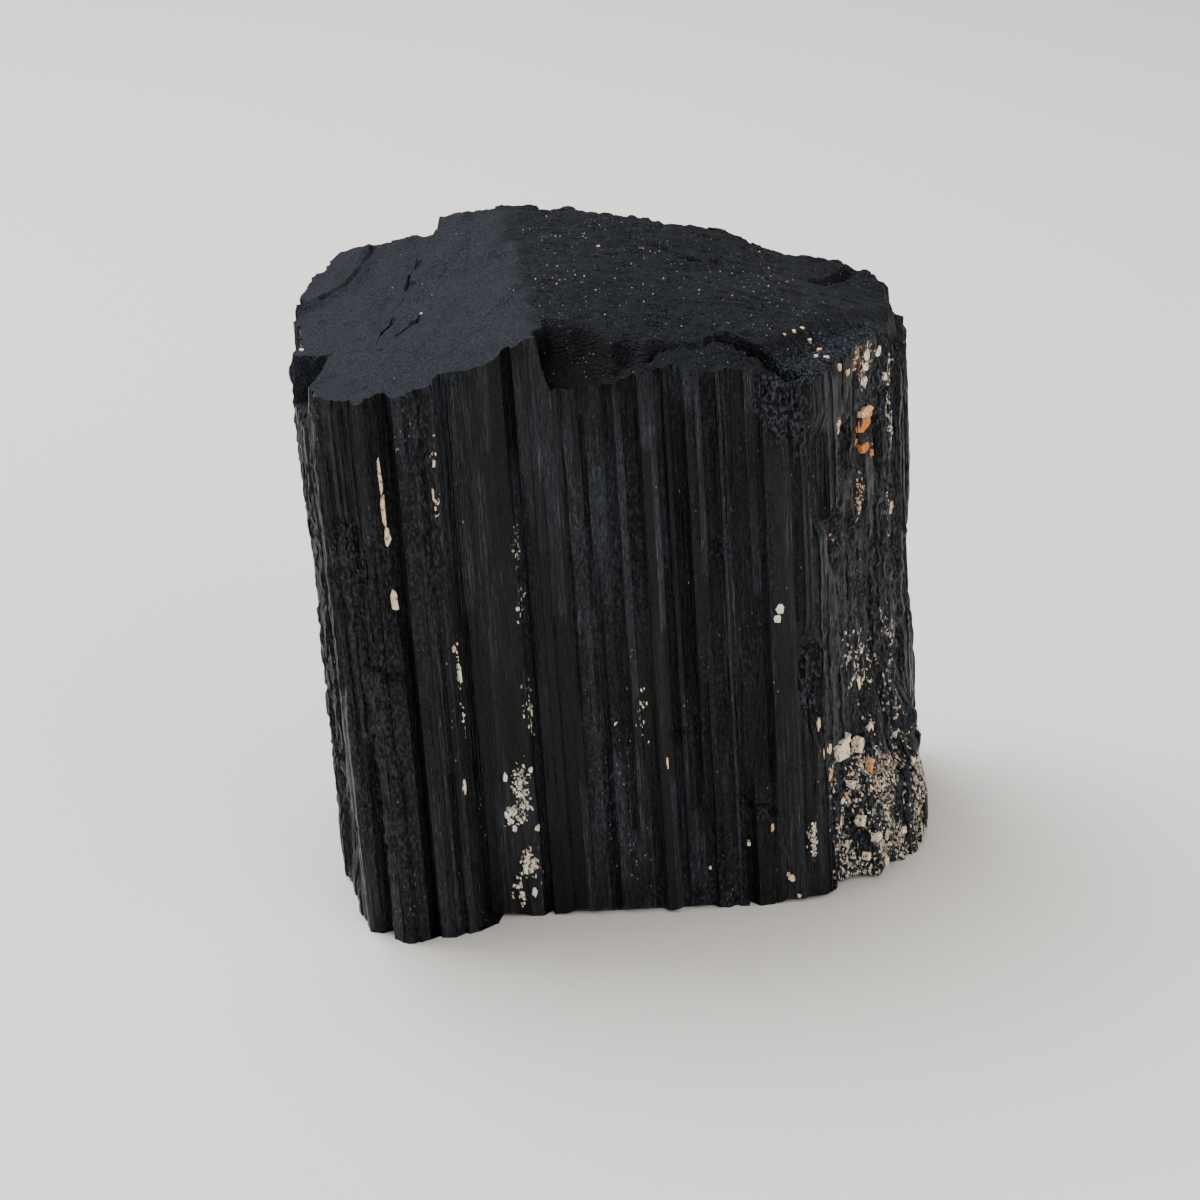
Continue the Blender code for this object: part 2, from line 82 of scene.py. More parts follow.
# Ribs of the side that faces the viewer: left edge x, depth under the outline, lowest and highest height
FRONT_RIBS = (
    (-27.6, 0.0, *WHOLE), (-26.1, 2.0, -10.0, 28.0), (-24.7, 0.5, 33.0, 90.0), (-22.7, 0.2, *WHOLE),
    (-21.1, 0.9, 36.0, 90.0), (-19.6, 1.4, *WHOLE), (-18.6, 0.0, *WHOLE), (-16.7, 0.4, *WHOLE),
    (-15.3, 0.1, *WHOLE), (-13.7, 0.6, *WHOLE), (-12.5, 0.0, *WHOLE), (-9.4, 0.05, *WHOLE),
    (-6.5, 1.1, *WHOLE), (-5.5, 0.3, *WHOLE), (-2.9, 0.4, *WHOLE), (-0.3, 0.0, *WHOLE),
    (1.6, 0.45, *WHOLE), (2.8, 0.05, *WHOLE), (4.2, 0.5, 8.0, 90.0), (5.4, 0.1, *WHOLE),
    (7.0, 0.45, *WHOLE), (8.2, -0.1, *WHOLE), (10.2, 0.8, *WHOLE), (11.1, 0.1, 23.0, 90.0),
    (11.9, 1.0, 12.0, 90.0), (13.4, 0.1, *WHOLE), (15.4, 0.5, 20.0, 90.0), (16.6, 0.1, *WHOLE),
    (18.3, 0.9, *WHOLE), (19.3, 0.8, 14.0, 90.0), (22.0, 0.0, *WHOLE), (22.7, 0.25, *WHOLE),
    (25.6, 0.0, *WHOLE), (27.8, 1.4, 44.0, 60.5), (30.1, 0.0, *WHOLE), (31.9, 0.9, 49.0, 60.0),
    (33.2, 0.2, *WHOLE), (34.4, 0.7, 51.0, 59.0), (36.3, 1.0, 48.0, 60.0), (37.6, 0.1, *WHOLE),
    (39.1, 0.6, *WHOLE), (40.3, 0.0, *WHOLE), (41.6, 0.5, *WHOLE),
)
FRONT_END_X = 42.2

# Ribs of the other sides, which follow no order
RIB_SEED = 71
RIB_WIDTHS = (1.3, 3.8)
RIB_DEPTH = 1.0
RIB_TILT = 0.14
RIB_START = (-60.0, 50.0)
RIB_LENGTH = (20.0, 110.0)

# Swellings and broken places of the sides: x, y, height, half width along the outline, half height, rise,
# and how abruptly it starts
SWELL_SWAY = 0.25           # how uneven their edges are
SWELL_WAVE = (2.3, 4.1, 23, 1)
SWELL_SWAY_FADE = 4.0       # how soon it fades away outside them
SWELLS = (
    (36.4, 1.8, -4.0, 13.0, 30.0, 3.2, 1.2),
    (35.2, -0.4, 4.0, 8.5, 13.0, 1.2, 1.4),
    (30.8, -7.8, 45.9, 2.2, 2.4, -1.1, 1.6),
    (24.8, -13.8, 67.0, 3.8, 5.5, -1.2, 1.4),
    (26.6, -13.1, 31.5, 2.0, 6.0, -0.6, 1.6),
    (27.8, -12.6, 25.0, 1.7, 4.5, -0.6, 1.6),
    (42.2, 17.0, 31.0, 7.0, 9.0, -2.2, 1.2),
    (42.2, 17.0, 2.0, 8.0, 8.0, -2.4, 1.8),
    (-31.6, -7.0, 40.0, 6.0, 5.0, -0.7, 1.8),
    (-29.6, -14.6, 10.0, 5.0, 9.0, -0.7, 1.8),
    (-10.0, 30.0, 42.0, 9.0, 24.0, -2.6, 1.8),
    (23.0, 29.8, 16.0, 8.0, 15.0, -2.2, 1.8),
    (38.0, 29.6, 60.0, 6.0, 12.0, -1.6, 1.8),
    (-29.0, 22.0, 14.0, 6.0, 12.0, -1.8, 1.8),
)

# Height of the broken top above places of the base, before its ledges are cut: x, y, height
TOP_HEIGHTS = (
    (-28.4, -18.5, 67.1), (-27.3, -21.3, 67.4), (-22.4, -24.0, 67.4), (-16.0, -22.0, 68.2),
    (-13.1, -20.1, 69.1), (-8.4, -17.1, 69.9), (-3.0, -16.9, 72.7), (-32.5, 3.0, 66.5),
    (-31.5, 11.0, 67.4), (-32.5, 20.6, 67.5), (-28.0, 28.6, 70.3), (-24.0, 20.0, 69.9),
    (-22.9, 28.3, 72.2), (-16.0, 28.4, 73.3), (-27.0, -6.6, 67.2),
    (-20.4, -5.3, 68.8), (-17.0, -1.0, 69.5), (-18.2, 14.8, 70.9), (-10.4, 13.5, 71.9),
    (-3.0, 0.0, 73.3), (-3.0, 15.0, 73.8), (-3.0, 30.0, 74.1), (-1.4, -17.0, 72.6),
    (4.8, -8.0, 71.6), (4.8, -16.6, 71.2), (12.0, -8.0, 70.6), (12.0, -15.9, 69.4),
    (19.3, -14.7, 68.5), (27.0, -13.2, 68.2), (18.8, -6.6, 69.9), (31.0, -7.5, 68.2),
    (36.0, 1.0, 68.1), (40.0, 9.0, 66.2), (15.3, 16.4, 71.6), (15.0, 27.8, 72.6), (30.1, 19.1, 67.8),
    (34.3, 30.0, 67.5), (39.6, 21.0, 65.2), (39.4, 29.0, 66.8), (25.5, 29.0, 68.9), (20.6, 29.0, 71.0),
    (6.0, 30.0, 74.0),
)
TOP_SWELL = 0.22            # swell of the broken surface
TOP_WAVE = (6.5, 6.5, 12, 1)

# The front break: where it starts at each x, how deep it falls, and over what run
BREAK_X = (-3.0, 4.0, 8.8, 12.0, 15.6, 18.8, 22.0, 25.4, 29.0)
BREAK_Y = (-7.5, -9.0, -10.1, -9.4, -8.5, -6.6, -8.2, -9.6, -9.0)
BREAK_FALL = (6.6, 4.2, 1.6, 0.5, 0.4, 0.8, 1.0, 0.9, 0.3)
BREAK_RUN = (8.5, 6.5, 2.6, 1.0, 0.6, 0.6, 0.6, 0.6, 0.6)
BREAK_WALL_X = -2.7
BREAK_SWAY = 0.9            # how far the break strays from its line
BREAK_WAVE = (1.9, 6.0, 13, 1)
WALL_WAVE = (2.3, 1.0, 14, 1)
WALL_RUN = 0.9              # run of the wall at the break's left end
BREAK_END_RUN = 1.5         # run in which the break fades out at its right end

# Ledges of the top, lower on the left of the line's direction: line, fall at its two ends, run
LEDGE_SWAY = 0.6            # how far a ledge strays from its line
LEDGE_WAVE = (2.6, 2.6, 15, 1)
LEDGES = (
    (((-33.5, -6.6), (-20.9, -6.9), (-19.9, 1.4), (-18.2, 14.8), (-15.6, 26.3), (-15.3, 33.0)),
     0.1, 2.6, 0.5),
    (((-35.0, 9.0), (-29.0, 13.0), (-24.6, 20.0), (-23.5, 32.0)), -1.0, -0.7, 2.0),
    (((39.9, 31.0), (39.8, 22.0), (39.7, 16.0), (38.8, 9.5), (37.6, 5.0)), 3.4, 3.8, 0.6),
    (((41.7, 28.0), (41.1, 20.0), (41.0, 15.0), (39.6, 9.0)), 4.5, 5.0, 0.5),
    (((38.8, 12.5), (34.6, 8.0), (31.4, 2.0), (28.6, -3.0), (24.6, -7.4), (23.0, -11.0)),
     1.4, 1.8, 3.2),
)
NOTCH = ((-35.5, -3.4), (-28.2, -18.8), (-26.4, -5.4))
NOTCH_FALL = 5.4
NOTCH_RUN = 0.9
TROUGH = ((30.6, 19.6), (35.2, 27.0))
TROUGH_HALF = 1.1
TROUGH_FALL = 1.3

# Foot: the rim is chipped, and the middle is flat
FOOT_CHIP = 0.9
FOOT_CHIP_WAVE = (5.0, 1.0, 5, 1)
FOOT_CHIP_SHIFT = 0.2
FOOT_FLAT_SHARE = 0.93
FOOT_CRUMB = 0.25           # share of finer chips in the foot's rim
FOOT_CRUMB_WAVE = (1.1, 1.0, 62, 2)
FOOT_CRUMB_ROW = 3.0        # the row of that noise which the rim follows

# Fine ribs inside each rib
FINE_SEED = 404
FINE_WIDTHS = (0.32, 1.15)
FINE_DEPTH = 0.26
FINE_TILT = 0.055
FINE_GAP = 0.05
FINE_MIDDLE = 0.7           # a fine rib wider than this gets an upright line in its middle
CALM_PLACE = (0.3, 20.0)    # where a fine rib is tested for calm: how far inside its edge, and height
CALM_WIDER = 0.9            # a calm one is wider, shallower and flatter by these shares
CALM_SHALLOWER = 0.75
CALM_FLATTER = 0.6
CALM_LONGER = 0.85          # and its long stretches differ less
LONG_STRETCH = (14.0, 60.0)
SHORT_STRETCH = (1.4, 6.0)
PHASE_SPAN = 50.0
SHORT_PHASE = 1.7           # sets the short stretches apart from the long ones
SHADE_PHASE = 31.3          # sets the lightness of a rib apart from its relief
STRETCH_CHANGE = 0.07       # share of a stretch over which it changes to the next
LONG_DEPTH = 0.36
SHORT_DEPTH = 0.34
RIM_CHIP = 0.55             # how far the sides are chipped back at the top's edge
RIM_CHIP_RUN = 1.5
RIM_CHIP_WAVE = (0.9, 3.0, 75, 2)
RIM_CHIP_SHIFT = 0.15

# Smooth flats of the visible side: lowest and highest x, lowest and highest height
SMOOTH_FLATS = (
    (-12.3, -6.6, -5.0, 80.0),
    (-5.4, -0.3, -5.0, 80.0),
    (8.2, 10.2, -5.0, 80.0),
    (22.7, 25.6, -5.0, 58.0),
    (25.7, 27.7, 36.0, 60.0),
)
SMOOTH_EDGE = 0.4
SMOOTH_END = 4.0
SMOOTH_HOLD = 0.93          # share of the roughness that a smooth flat takes away

# Rough places of the sides: x, y, height, half width along the outline, half height, strength
ROUGH_PLACES = (
    (4.6, -16.6, 48.0, 6.0, 15.0, 0.34),
    (24.8, -13.8, 64.0, 4.2, 5.5, 1.0),
    (27.0, -13.0, 56.0, 1.6, 8.0, 0.8),
    (16.8, -15.1, 46.5, 2.0, 2.0, 0.5),
    (26.9, -13.1, 28.5, 2.0, 8.0, 0.85),
    (19.0, -14.8, 13.0, 3.4, 2.4, 0.45),
    (12.6, -15.8, 24.5, 2.0, 3.0, 0.4),
    (-25.6, -22.0, 47.0, 3.2, 9.0, 0.7),
    (-31.0, -9.5, 34.0, 9.0, 34.0, 0.55),
    (33.0, -4.0, 9.0, 10.0, 13.0, 0.9),
    (38.0, 5.0, 30.0, 8.0, 26.0, 0.75),
    (33.0, -4.0, 38.0, 6.0, 30.0, 0.60),
    (37.0, 3.0, 60.0, 9.0, 8.0, 0.8),
    (31.0, -7.5, 45.0, 3.0, 5.0, 0.9),
)
ROUGH_EDGE = 1.6            # how abruptly such a place starts
ROUGH_GROUND = 0.10
ROUGH_PATCH = 0.45
ROUGH_PATCHES = (7.0, 16.0, 31, 1)
ROUGH_DEPTH = 0.85
ROUGH_RIDGE = 0.55          # how wide the standing ridges of a rough place are
ROUGH_RIDGES = (1.3, 2.0, 60, 3)

# Cuts that run across the visible side: x and height of both ends, half height, depth
SIDE_CUTS = (
    (-24.8, 35.6, -19.3, 34.2, 0.55, 0.75),
    (16.9, 14.5, 22.0, 12.3, 0.45, 0.75),
    (-18.4, 8.0, -13.6, 8.3, 0.40, 0.30),
    (22.9, 18.4, 25.3, 18.0, 0.40, 0.40),
    (-25.6, 12.0, -22.6, 12.5, 0.40, 0.35),
    (9.6, 24.2, 13.0, 23.2, 0.40, 0.45),
    (-4.8, 33.0, 4.0, 34.0, 0.40, 0.16),
)
CUT_SWAY = 0.5
CUT_WAVE = (0.9, 1.0, 71, 1)
CUT_END = 0.3
CUT_EDGE = 1.4

# The line between the smooth left lobe and the grainy plateau of the top
LOBE_LINE = ((-2.7, -18.0), (-4.6, 2.0), (-7.0, 18.0), (-7.8, 33.0))
LOBE_BLEND = 2.4
LOBE_WOBBLE = 2.2           # how far the lobe's edge strays
LOBE_WAVE = (2.8, 2.8, 41, 3)

# Relief of the lobe: low steps that run along one direction, and grain
HACKLE_DIRECTION = (0.34, 0.94)
HACKLE_ACROSS = 1.9
HACKLE_ALONG = 7.5
HACKLE_SEED = 44
HACKLE_BEND = 0.8
HACKLE_BEND_WAVE = (9.0, 9.0, 43, 1)
HACKLE_RISES = ((0.05, 0.12), (0.42, 0.10))
HACKLE_SLOPE = 0.5
HACKLE_STEP = 0.12
LOBE_GRAIN = 0.10

# Relief of the plateau: grain, thin crevices and low swells
GRAIN_WAVE = (1.25, 1.25, 47, 3)
GRAIN_STEP = 0.20
CREVICE_WAVE = (5.2, 1.7, 51, 3)
CREVICE_HALF = 0.16
CREVICE_STEP = 0.20
PLATEAU_SWELL = 0.12
PLATEAU_WAVE = (3.1, 2.2, 55, 2)

# Relief of the front break, and how dark it is: fall at which it is fully broken, and share at each x
BREAK_FULL = 0.9
BREAK_ROUGH = 0.30
BREAK_ROUGH_WAVE = (0.9, 0.8, 58, 2)
CRUMBLE_X = (4.0, 9.0)
CRUMBLE_SHARE = (1.0, 0.25)

# Thin cracks of the top: base places along each, half width, depth
CRACKS = (
    (((-17.6, 17.9), (-19.0, 8.2), (-19.8, 2.5), (-21.0, -1.1), (-20.9, -6.8), (-24.0, -6.3),
      (-27.2, -5.6)), 0.18, 0.6),
    (((-14.2, 15.1), (-14.0, 12.6), (-14.6, 10.3)), 0.20, 0.10),
    (((-11.0, 18.3), (-11.5, 15.0), (-11.4, 11.3)), 0.20, 0.07),
    (((-16.0, 9.9), (-16.4, 7.0), (-17.2, 4.1)), 0.20, 0.08),
    (((-16.4, 1.1), (-17.2, -1.7), (-18.2, -3.7), (-19.0, -5.5)), 0.20, 0.25),
    (((-29.6, 12.7), (-28.2, 15.8), (-25.8, 20.2), (-24.4, 24.4), (-23.6, 28.0)), 0.50, 0.25),
    (((-26.0, -12.0), (-22.5, -9.6), (-19.5, -8.4)), 0.20, 0.07),
    (((-12.0, -12.2), (-9.6, -9.0), (-7.6, -8.0)), 0.20, 0.07),
)
CRACK_SPACING = 0.35
CRACK_SWAY = 0.45
CRACK_WAVE = (4.5, 1.0, 81, 1)
CRACK_ROW = 0.5             # the row of that noise which the cracks follow
CRACK_END = 14.0            # how abruptly a crack ends
# cracks and the gap under the break get painted shade by their depth
CRACK_FULL_SHADE = 0.35           # a crack this deep is wholly dark

# The broken corner of the top lies beyond the last ledge
CORNER_BLEND = 2.2
CORNER_ROUGH = 0.50
CORNER_SHIFT = 0.3
CORNER_WAVE = (3.6, 1.3, 64, 3)

# The dark gap under the front break's cliff: how deep and how wide it is at each x
GAP_X = (7.0, 9.5, 13.0, 16.5, 19.5, 21.0, 25.5, 27.2)
GAP_DEPTH = (0.0, 0.5, 0.2, 0.2, 0.3, 2.0, 1.9, 0.0)
GAP_HALF = (0.3, 0.4, 0.3, 0.3, 0.3, 0.65, 0.65, 0.3)
GAP_EDGE = 1.3

# Pits of the top: x, y, half length, half width, turn from x in degrees, depth
TOP_PITS = (
    (15.3, 16.4, 1.7, 0.7, 5.0, 0.8),
    (18.6, 17.4, 0.9, 0.5, 0.0, 0.5),
    (11.0, 18.3, 2.4, 0.30, -4.0, 0.5),
    (8.6, 18.8, 1.2, 0.25, 6.0, 0.4),
    (10.7, -6.2, 1.2, 0.45, 0.0, 0.5),
    (-17.0, -1.2, 0.9, 0.5, 60.0, 0.45),
    (22.6, 1.5, 1.2, 0.35, -8.0, 0.35),
    (27.0, 12.0, 1.5, 0.30, 20.0, 0.35),
    (-21.6, -18.4, 0.5, 0.25, 40.0, 0.25),
)
PIT_EDGE = 1.5

# Places of pale feldspar on the sides: x, y, height, half width along the outline, half height,
# cover and stain
FELDSPAR_PLACES = (
    (30.2, -9.0, 7.5, 3.6, 12.0, 0.36, 0.12),
    (34.0, -2.3, 8.5, 8.0, 12.5, 0.38, 0.30),
    (38.6, 6.2, 6.0, 7.0, 11.0, 0.42, 0.14),
    (37.4, 3.8, 24.0, 5.0, 9.0, 0.15, 0.15),
    (33.4, -3.4, 27.0, 4.5, 7.0, 0.16, 0.10),
    (38.8, 6.6, 42.4, 1.5, 4.0, 0.42, 0.70),
    (39.6, 8.0, 29.8, 1.2, 4.5, 0.45, 0.60),
    (39.4, 8.0, 56.0, 2.4, 7.0, 0.40, 0.05),
    (35.2, -0.4, 64.0, 3.4, 3.6, 0.50, 0.55),
    (35.8, 0.6, 54.6, 1.9, 4.0, 0.40, 1.00),
    (31.8, -6.0, 58.6, 1.2, 2.0, 0.46, 0.70),
    (34.5, -1.7, 48.4, 1.2, 3.4, 0.34, 0.70),
    (31.6, -6.2, 45.2, 1.6, 2.0, 0.75, 0.95),
    (-8.1, -17.1, 4.8, 1.7, 4.8, 0.95, 0.00),
    (-8.8, -17.2, 16.5, 1.8, 5.0, 0.55, 0.00),
    (-6.4, -17.1, 38.0, 0.5, 17.0, 0.26, 0.00),
    (-13.4, -20.4, 29.0, 0.4, 13.0, 0.26, 0.05),
    (-14.5, -21.0, 58.0, 0.5, 5.0, 0.22, 0.20),
    (26.2, -13.4, 8.2, 0.9, 3.0, 0.50, 0.05),
    (6.6, -16.4, 26.0, 0.7, 10.0, 0.15, 0.05),
    (18.4, -14.9, 53.0, 0.3, 7.0, 0.30, 0.10),
    (-27.8, -19.8, 36.0, 0.9, 1.6, 0.45, 0.95),
)
FELDSPAR_EDGE = 1.5
FELDSPAR_PATCHES = (1.6, 4.4, 85, 2)
FELDSPAR_MEAN = 0.50        # the patches' strength: mean, contrast and most
FELDSPAR_CONTRAST = 1.6
FELDSPAR_MOST = 1.3

# Single grains of the visible side: x, height, width along the outline, height of the grain,
# and tone from white at 0 to orange at 1
SIDE_GRAINS = (
    (-20.1, 58.6, 0.42, 4.2, 0.26), (-20.1, 54.6, 0.62, 4.6, 0.28), (-19.9, 51.4, 0.75, 2.6, 0.26),
    (-19.9, 43.5, 0.95, 3.0, 0.28), (-13.3, 33.6, 0.55, 2.6, 0.1), (-13.2, 26.0, 0.5, 2.2, 0.12),
    (-14.2, 19.4, 0.6, 2.4, 0.3), (-14.3, 59.6, 0.35, 1.0, 0.25), (-14.7, 56.0, 0.3, 1.8, 0.3),
    (-14.0, 37.0, 0.5, 0.9, 0.55), (-9.9, 18.9, 0.6, 1.5, 0.05), (-10.1, 14.0, 0.5, 1.1, 0.08),
    (-6.9, 19.6, 0.5, 0.8, 0.15), (-6.7, 11.8, 0.6, 0.7, 0.2), (-8.4, 6.4, 0.6, 1.5, 0.03),
    (-7.6, 3.4, 0.6, 1.4, 0.05), (-9.0, 3.0, 0.5, 1.2, 0.08), (23.3, 39.0, 1.0, 1.7, 0.02),
    (22.9, 37.8, 0.8, 1.1, 0.03), (9.2, 20.2, 0.25, 2.0, 0.4), (3.5, 25.4, 0.45, 0.6, 0.1),
    (21.3, 10.6, 0.5, 1.2, 0.65), (18.4, 8.4, 0.45, 0.5, 0.1), (15.4, 7.2, 0.4, 0.5, 0.05),
    (13.7, 5.4, 0.35, 0.5, 0.05), (23.4, 3.4, 0.9, 0.9, 0.3), (23.0, 4.0, 0.5, 0.6, 0.25),
    (24.2, 1.0, 0.6, 0.5, 0.2), (28.3, 22.9, 0.6, 1.9, 0.32), (28.5, 19.0, 0.4, 1.6, 0.34),
    (29.3, 19.0, 1.8, 1.8, 0.3), (30.7, 17.6, 4.2, 3.4, 0.24), (30.9, 18.6, 3.3, 1.0, 0.20),
    (31.6, 17.5, 2.8, 2.8, 0.26), (32.6, 17.0, 1.9, 2.0, 0.24), (33.6, 18.4, 1.4, 1.6, 0.17),
    (29.2, 15.5, 3.0, 2.0, 0.61), (33.6, 24.0, 1.4, 2.2, 0.3), (36.8, 14.8, 1.25, 1.2, 0.2),
    (34.0, 28.2, 0.88, 0.8, 0.2), (37.8, 23.2, 1.12, 0.9, 0.22), (37.2, 11.0, 1.88, 1.2, 0.3),
    (32.6, 14.4, 1.12, 2.2, 0.67), (31.4, 12.6, 1.5, 1.1, 0.05), (31.3, 11.0, 2.12, 1.5, 0.7),
    (30.5, 8.2, 1.62, 1.6, 0.28), (30.5, 11.0, 1.12, 1.0, 0.25), (37.0, 8.0, 1.62, 1.2, 0.05),
    (35.0, 7.6, 1.38, 1.0, 0.1), (31.6, 7.6, 1.88, 1.7, 0.22), (31.9, 5.6, 1.62, 1.4, 0.18),
    (31.5, 3.2, 1.62, 1.2, 0.28), (32.9, 1.6, 1.25, 2.4, 0.26), (35.2, 3.6, 1.5, 1.4, 0.1),
    (36.3, 64.6, 2.76, 1.6, 0.02), (37.5, 64.0, 2.21, 1.2, 0.05), (36.1, 63.2, 3.13, 1.2, 0.03),
    (32.0, 65.6, 0.8, 1.0, 0.4), (32.9, 64.4, 1.2, 1.0, 0.56), (35.3, 61.8, 2.94, 0.7, 0.14),
    (35.8, 61.2, 1.1, 1.9, 0.26), (38.3, 60.4, 1.47, 1.0, 0.15), (35.8, 57.7, 3.52, 1.4, 0.62),
    (36.0, 55.9, 4.16, 1.9, 0.9), (37.2, 56.6, 1.76, 1.2, 0.62), (35.3, 53.4, 2.24, 1.2, 0.95),
    (36.1, 52.4, 1.44, 1.0, 0.95), (34.8, 54.4, 1.28, 0.8, 0.95), (31.7, 58.9, 1.0, 0.9, 0.44),
    (32.2, 57.6, 0.7, 0.9, 0.62), (34.6, 46.8, 1.44, 0.9, 0.5), (39.5, 42.4, 1.44, 1.8, 0.62),
)

# Single grains of the top: x, y, width, depth along y, tone
TOP_GRAINS = (
    (15.9, 16.4, 0.6, 0.5, 0.62), (4.4, 15.1, 0.5, 0.5, 0.45), (21.2, -8.4, 1.1, 0.7, 0.80),
    (27.6, -2.0, 0.6, 0.6, 0.45), (28.3, -3.0, 0.5, 0.6, 0.35), (26.6, -3.4, 0.5, 0.5, 0.40),
    (29.3, -4.2, 0.7, 0.6, 0.50), (30.0, -5.4, 0.8, 0.6, 0.32), (28.9, -5.6, 0.5, 0.5, 0.28),
    (25.4, -4.6, 0.4, 0.4, 0.45), (-16.3, 1.0, 0.4, 0.4, 0.05), (-30.2, -2.2, 0.5, 0.6, 0.03),
)
GRAIN_CORNERS = 8
GRAIN_SQUARE = 0.62         # how square a grain's outline is: 1 is an oval, 0 a box
GRAIN_TURN = 0.28           # how unevenly its corners follow each other
GRAIN_REACH = (0.66, 1.20)  # how far they lie out, as shares of its size
GRAIN_RISE = (0.06, 0.30)   # how far a grain stands out of the stone
GRAIN_LEAST = 0.45          # share of that rise which the narrowest grain has
GRAIN_HEIGHTS = (0.5, 1.0)
GRAIN_FOOT = 1.05           # sizes of its sunken ring and its raised ring, and height of its middle
GRAIN_SHOULDER = 0.93
GRAIN_PEAK = 1.1
GRAIN_SINK = 0.7
GRAIN_SEED = 330
TOP_SPECKS = 460            # tries at placing a bright speck on the top
SPECK_X = (-27.0, 31.0)
SPECK_Y = (-6.5, 26.5)
SPECK_SIZES = (0.06, 0.18)
SPECK_PATCHES = (5.0, 5.0, 330, 2)
SPECK_TONES = (-0.75, 0.16)
SPECK_CROWD = (0.3, 1.5)
LOOSE_GRAINS = 1700         # tries at placing a small grain in the feldspar places
LOOSE_SIZES = (0.14, 0.42)
LOOSE_HEIGHTS = (0.8, 66.0)
LOOSE_COVER = (0.1, 0.6)
LOOSE_TONE = 0.25
LOOSE_RUST = 0.65
LOOSE_RUST_SHARE = (0.4, 1.0)

# Fineness of the finished surface
ROWS = 88
TOP_SPACING = 0.46
RIM_CLEAR = 0.20
SHARP_DEGREES = 24.0
ROW_SHARE = 0.87            # distance between two rows of the top's grid, as a share of its spacing
TOP_SCATTER = 0.12
TOP_GRID_SEED = 90
CRACK_CLEAR = 0.6           # share of the spacing that the grid keeps from the places along the cracks
MERGE = 1e-7

NOISE_CELLS = 64
FRACTAL_SPAN = 1.5          # brings the sum of the octaves back to about 1
ARC_SAMPLES = 4000          # places tried when the outline's nearest place is sought
TINY = 1e-9


def ramp(share):
    """Zero below 0, one above 1 and smooth between."""
    share = np.clip(share, 0.0, 1.0)
    return share * share * (3.0 - 2.0 * share)


def value_noise(u, v, seed):
    """Smooth values from -1 to 1 that change over a distance of about 1."""
    table = np.random.default_rng(seed).uniform(-1.0, 1.0, (NOISE_CELLS, NOISE_CELLS))
    u, v = np.broadcast_arrays(np.asarray(u, float), np.asarray(v, float))
    column = np.floor(u).astype(int)
    row = np.floor(v).astype(int)
    across = ramp(u - column)
    along = ramp(v - row)

    def corner(right, up):
        return table[(column + right) % NOISE_CELLS, (row + up) % NOISE_CELLS]

    low = corner(0, 0) * (1.0 - across) + corner(1, 0) * across
    high = corner(0, 1) * (1.0 - across) + corner(1, 1) * across
    return low * (1.0 - along) + high * along


# The outline as a closed line with its arc length
LOOP = np.array(BASE_OUTLINE + BASE_OUTLINE[:1])
ARC = np.concatenate([[0.0], np.cumsum(np.hypot(*np.diff(LOOP, axis=0).T))])
GIRTH = ARC[-1]


def outline_point(arc):
    arc = np.mod(arc, GIRTH)
    return np.stack([np.interp(arc, ARC, LOOP[:, 0]), np.interp(arc, ARC, LOOP[:, 1])], axis=-1)


def outward(arc):
    run = outline_point(arc + NORMAL_SPAN) - outline_point(arc - NORMAL_SPAN)
    run /= np.linalg.norm(run, axis=-1, keepdims=True)
    return np.stack([run[..., 1], -run[..., 0]], axis=-1)


def arc_at_x(x):
    """Arc of a place on the side that faces the viewer, where x only grows."""
    count = int(np.argmax(LOOP[:, 0])) + 1
    return float(np.interp(x, LOOP[:count, 0], ARC[:count]))


@functools.cache
def arc_near(x, y):
    """Arc of the outline's nearest place."""
    arcs = np.linspace(0.0, GIRTH, ARC_SAMPLES, endpoint=False)
    return float(arcs[np.argmin(np.hypot(*(outline_point(arcs) - (x, y)).T))])


def all_ribs():
    """Start, end, depth, lowest height, highest height and tilt of every rib, once round the outline."""
    chance = np.random.default_rng(RIB_SEED)
    starts = [arc_at_x(x) for x, *_ in FRONT_RIBS] + [arc_at_x(FRONT_END_X)]
    ribs = [(starts[i], starts[i + 1], depth, low, high, chance.uniform(-RIB_TILT, RIB_TILT))
            for i, (_, depth, low, high) in enumerate(FRONT_RIBS)]
    end = GIRTH + starts[0]
    start = starts[-1]
    while start < end:
        stop = start + chance.uniform(*RIB_WIDTHS)
        stop = end if end - stop < RIB_WIDTHS[0] else stop
        low = chance.uniform(*RIB_START)
        high = low + chance.uniform(*RIB_LENGTH)
        depth = chance.uniform(0.0, RIB_DEPTH)
        ribs.append((start, stop, depth, low, high, chance.uniform(-RIB_TILT, RIB_TILT)))
        start = stop
    return np.array(ribs)


RIBS = all_ribs()


def rib_relief(rib, across, height):
    """How far a rib's face stands out, negative inwards; across runs from -1 to 1 over its width."""
    start, _, depth, low, high, tilt = RIBS[rib].T
    slanted = start / END_WAVE + END_SLANT * across
    swayed = height + END_SWAY * value_noise(slanted, height / END_WAVE_UP, RIB_SEED)
    within = ramp((swayed - low) / RUN_OUT) * ramp((high - swayed) / RUN_OUT)
    return -depth * within + tilt * across - abs(tilt)


def fractal(u, v, seed, octaves):
    """Noise with finer and weaker noise added on it, from about -1 to 1."""
    total = np.zeros(np.broadcast(u, v).shape)
    for octave in range(octaves):
        size = 2.0 ** octave
        total = total + value_noise(np.asarray(u) * size, np.asarray(v) * size, seed + octave) / size
    return total / FRACTAL_SPAN


def waves(u, v, pattern):
    """Noise of a pattern, which names its length along both directions, its seed and its octaves."""
    length_u, length_v, seed, octaves = pattern
    if octaves == 1:
        return value_noise(u / length_u, v / length_v, seed)
    return fractal(u / length_u, v / length_v, seed, octaves)


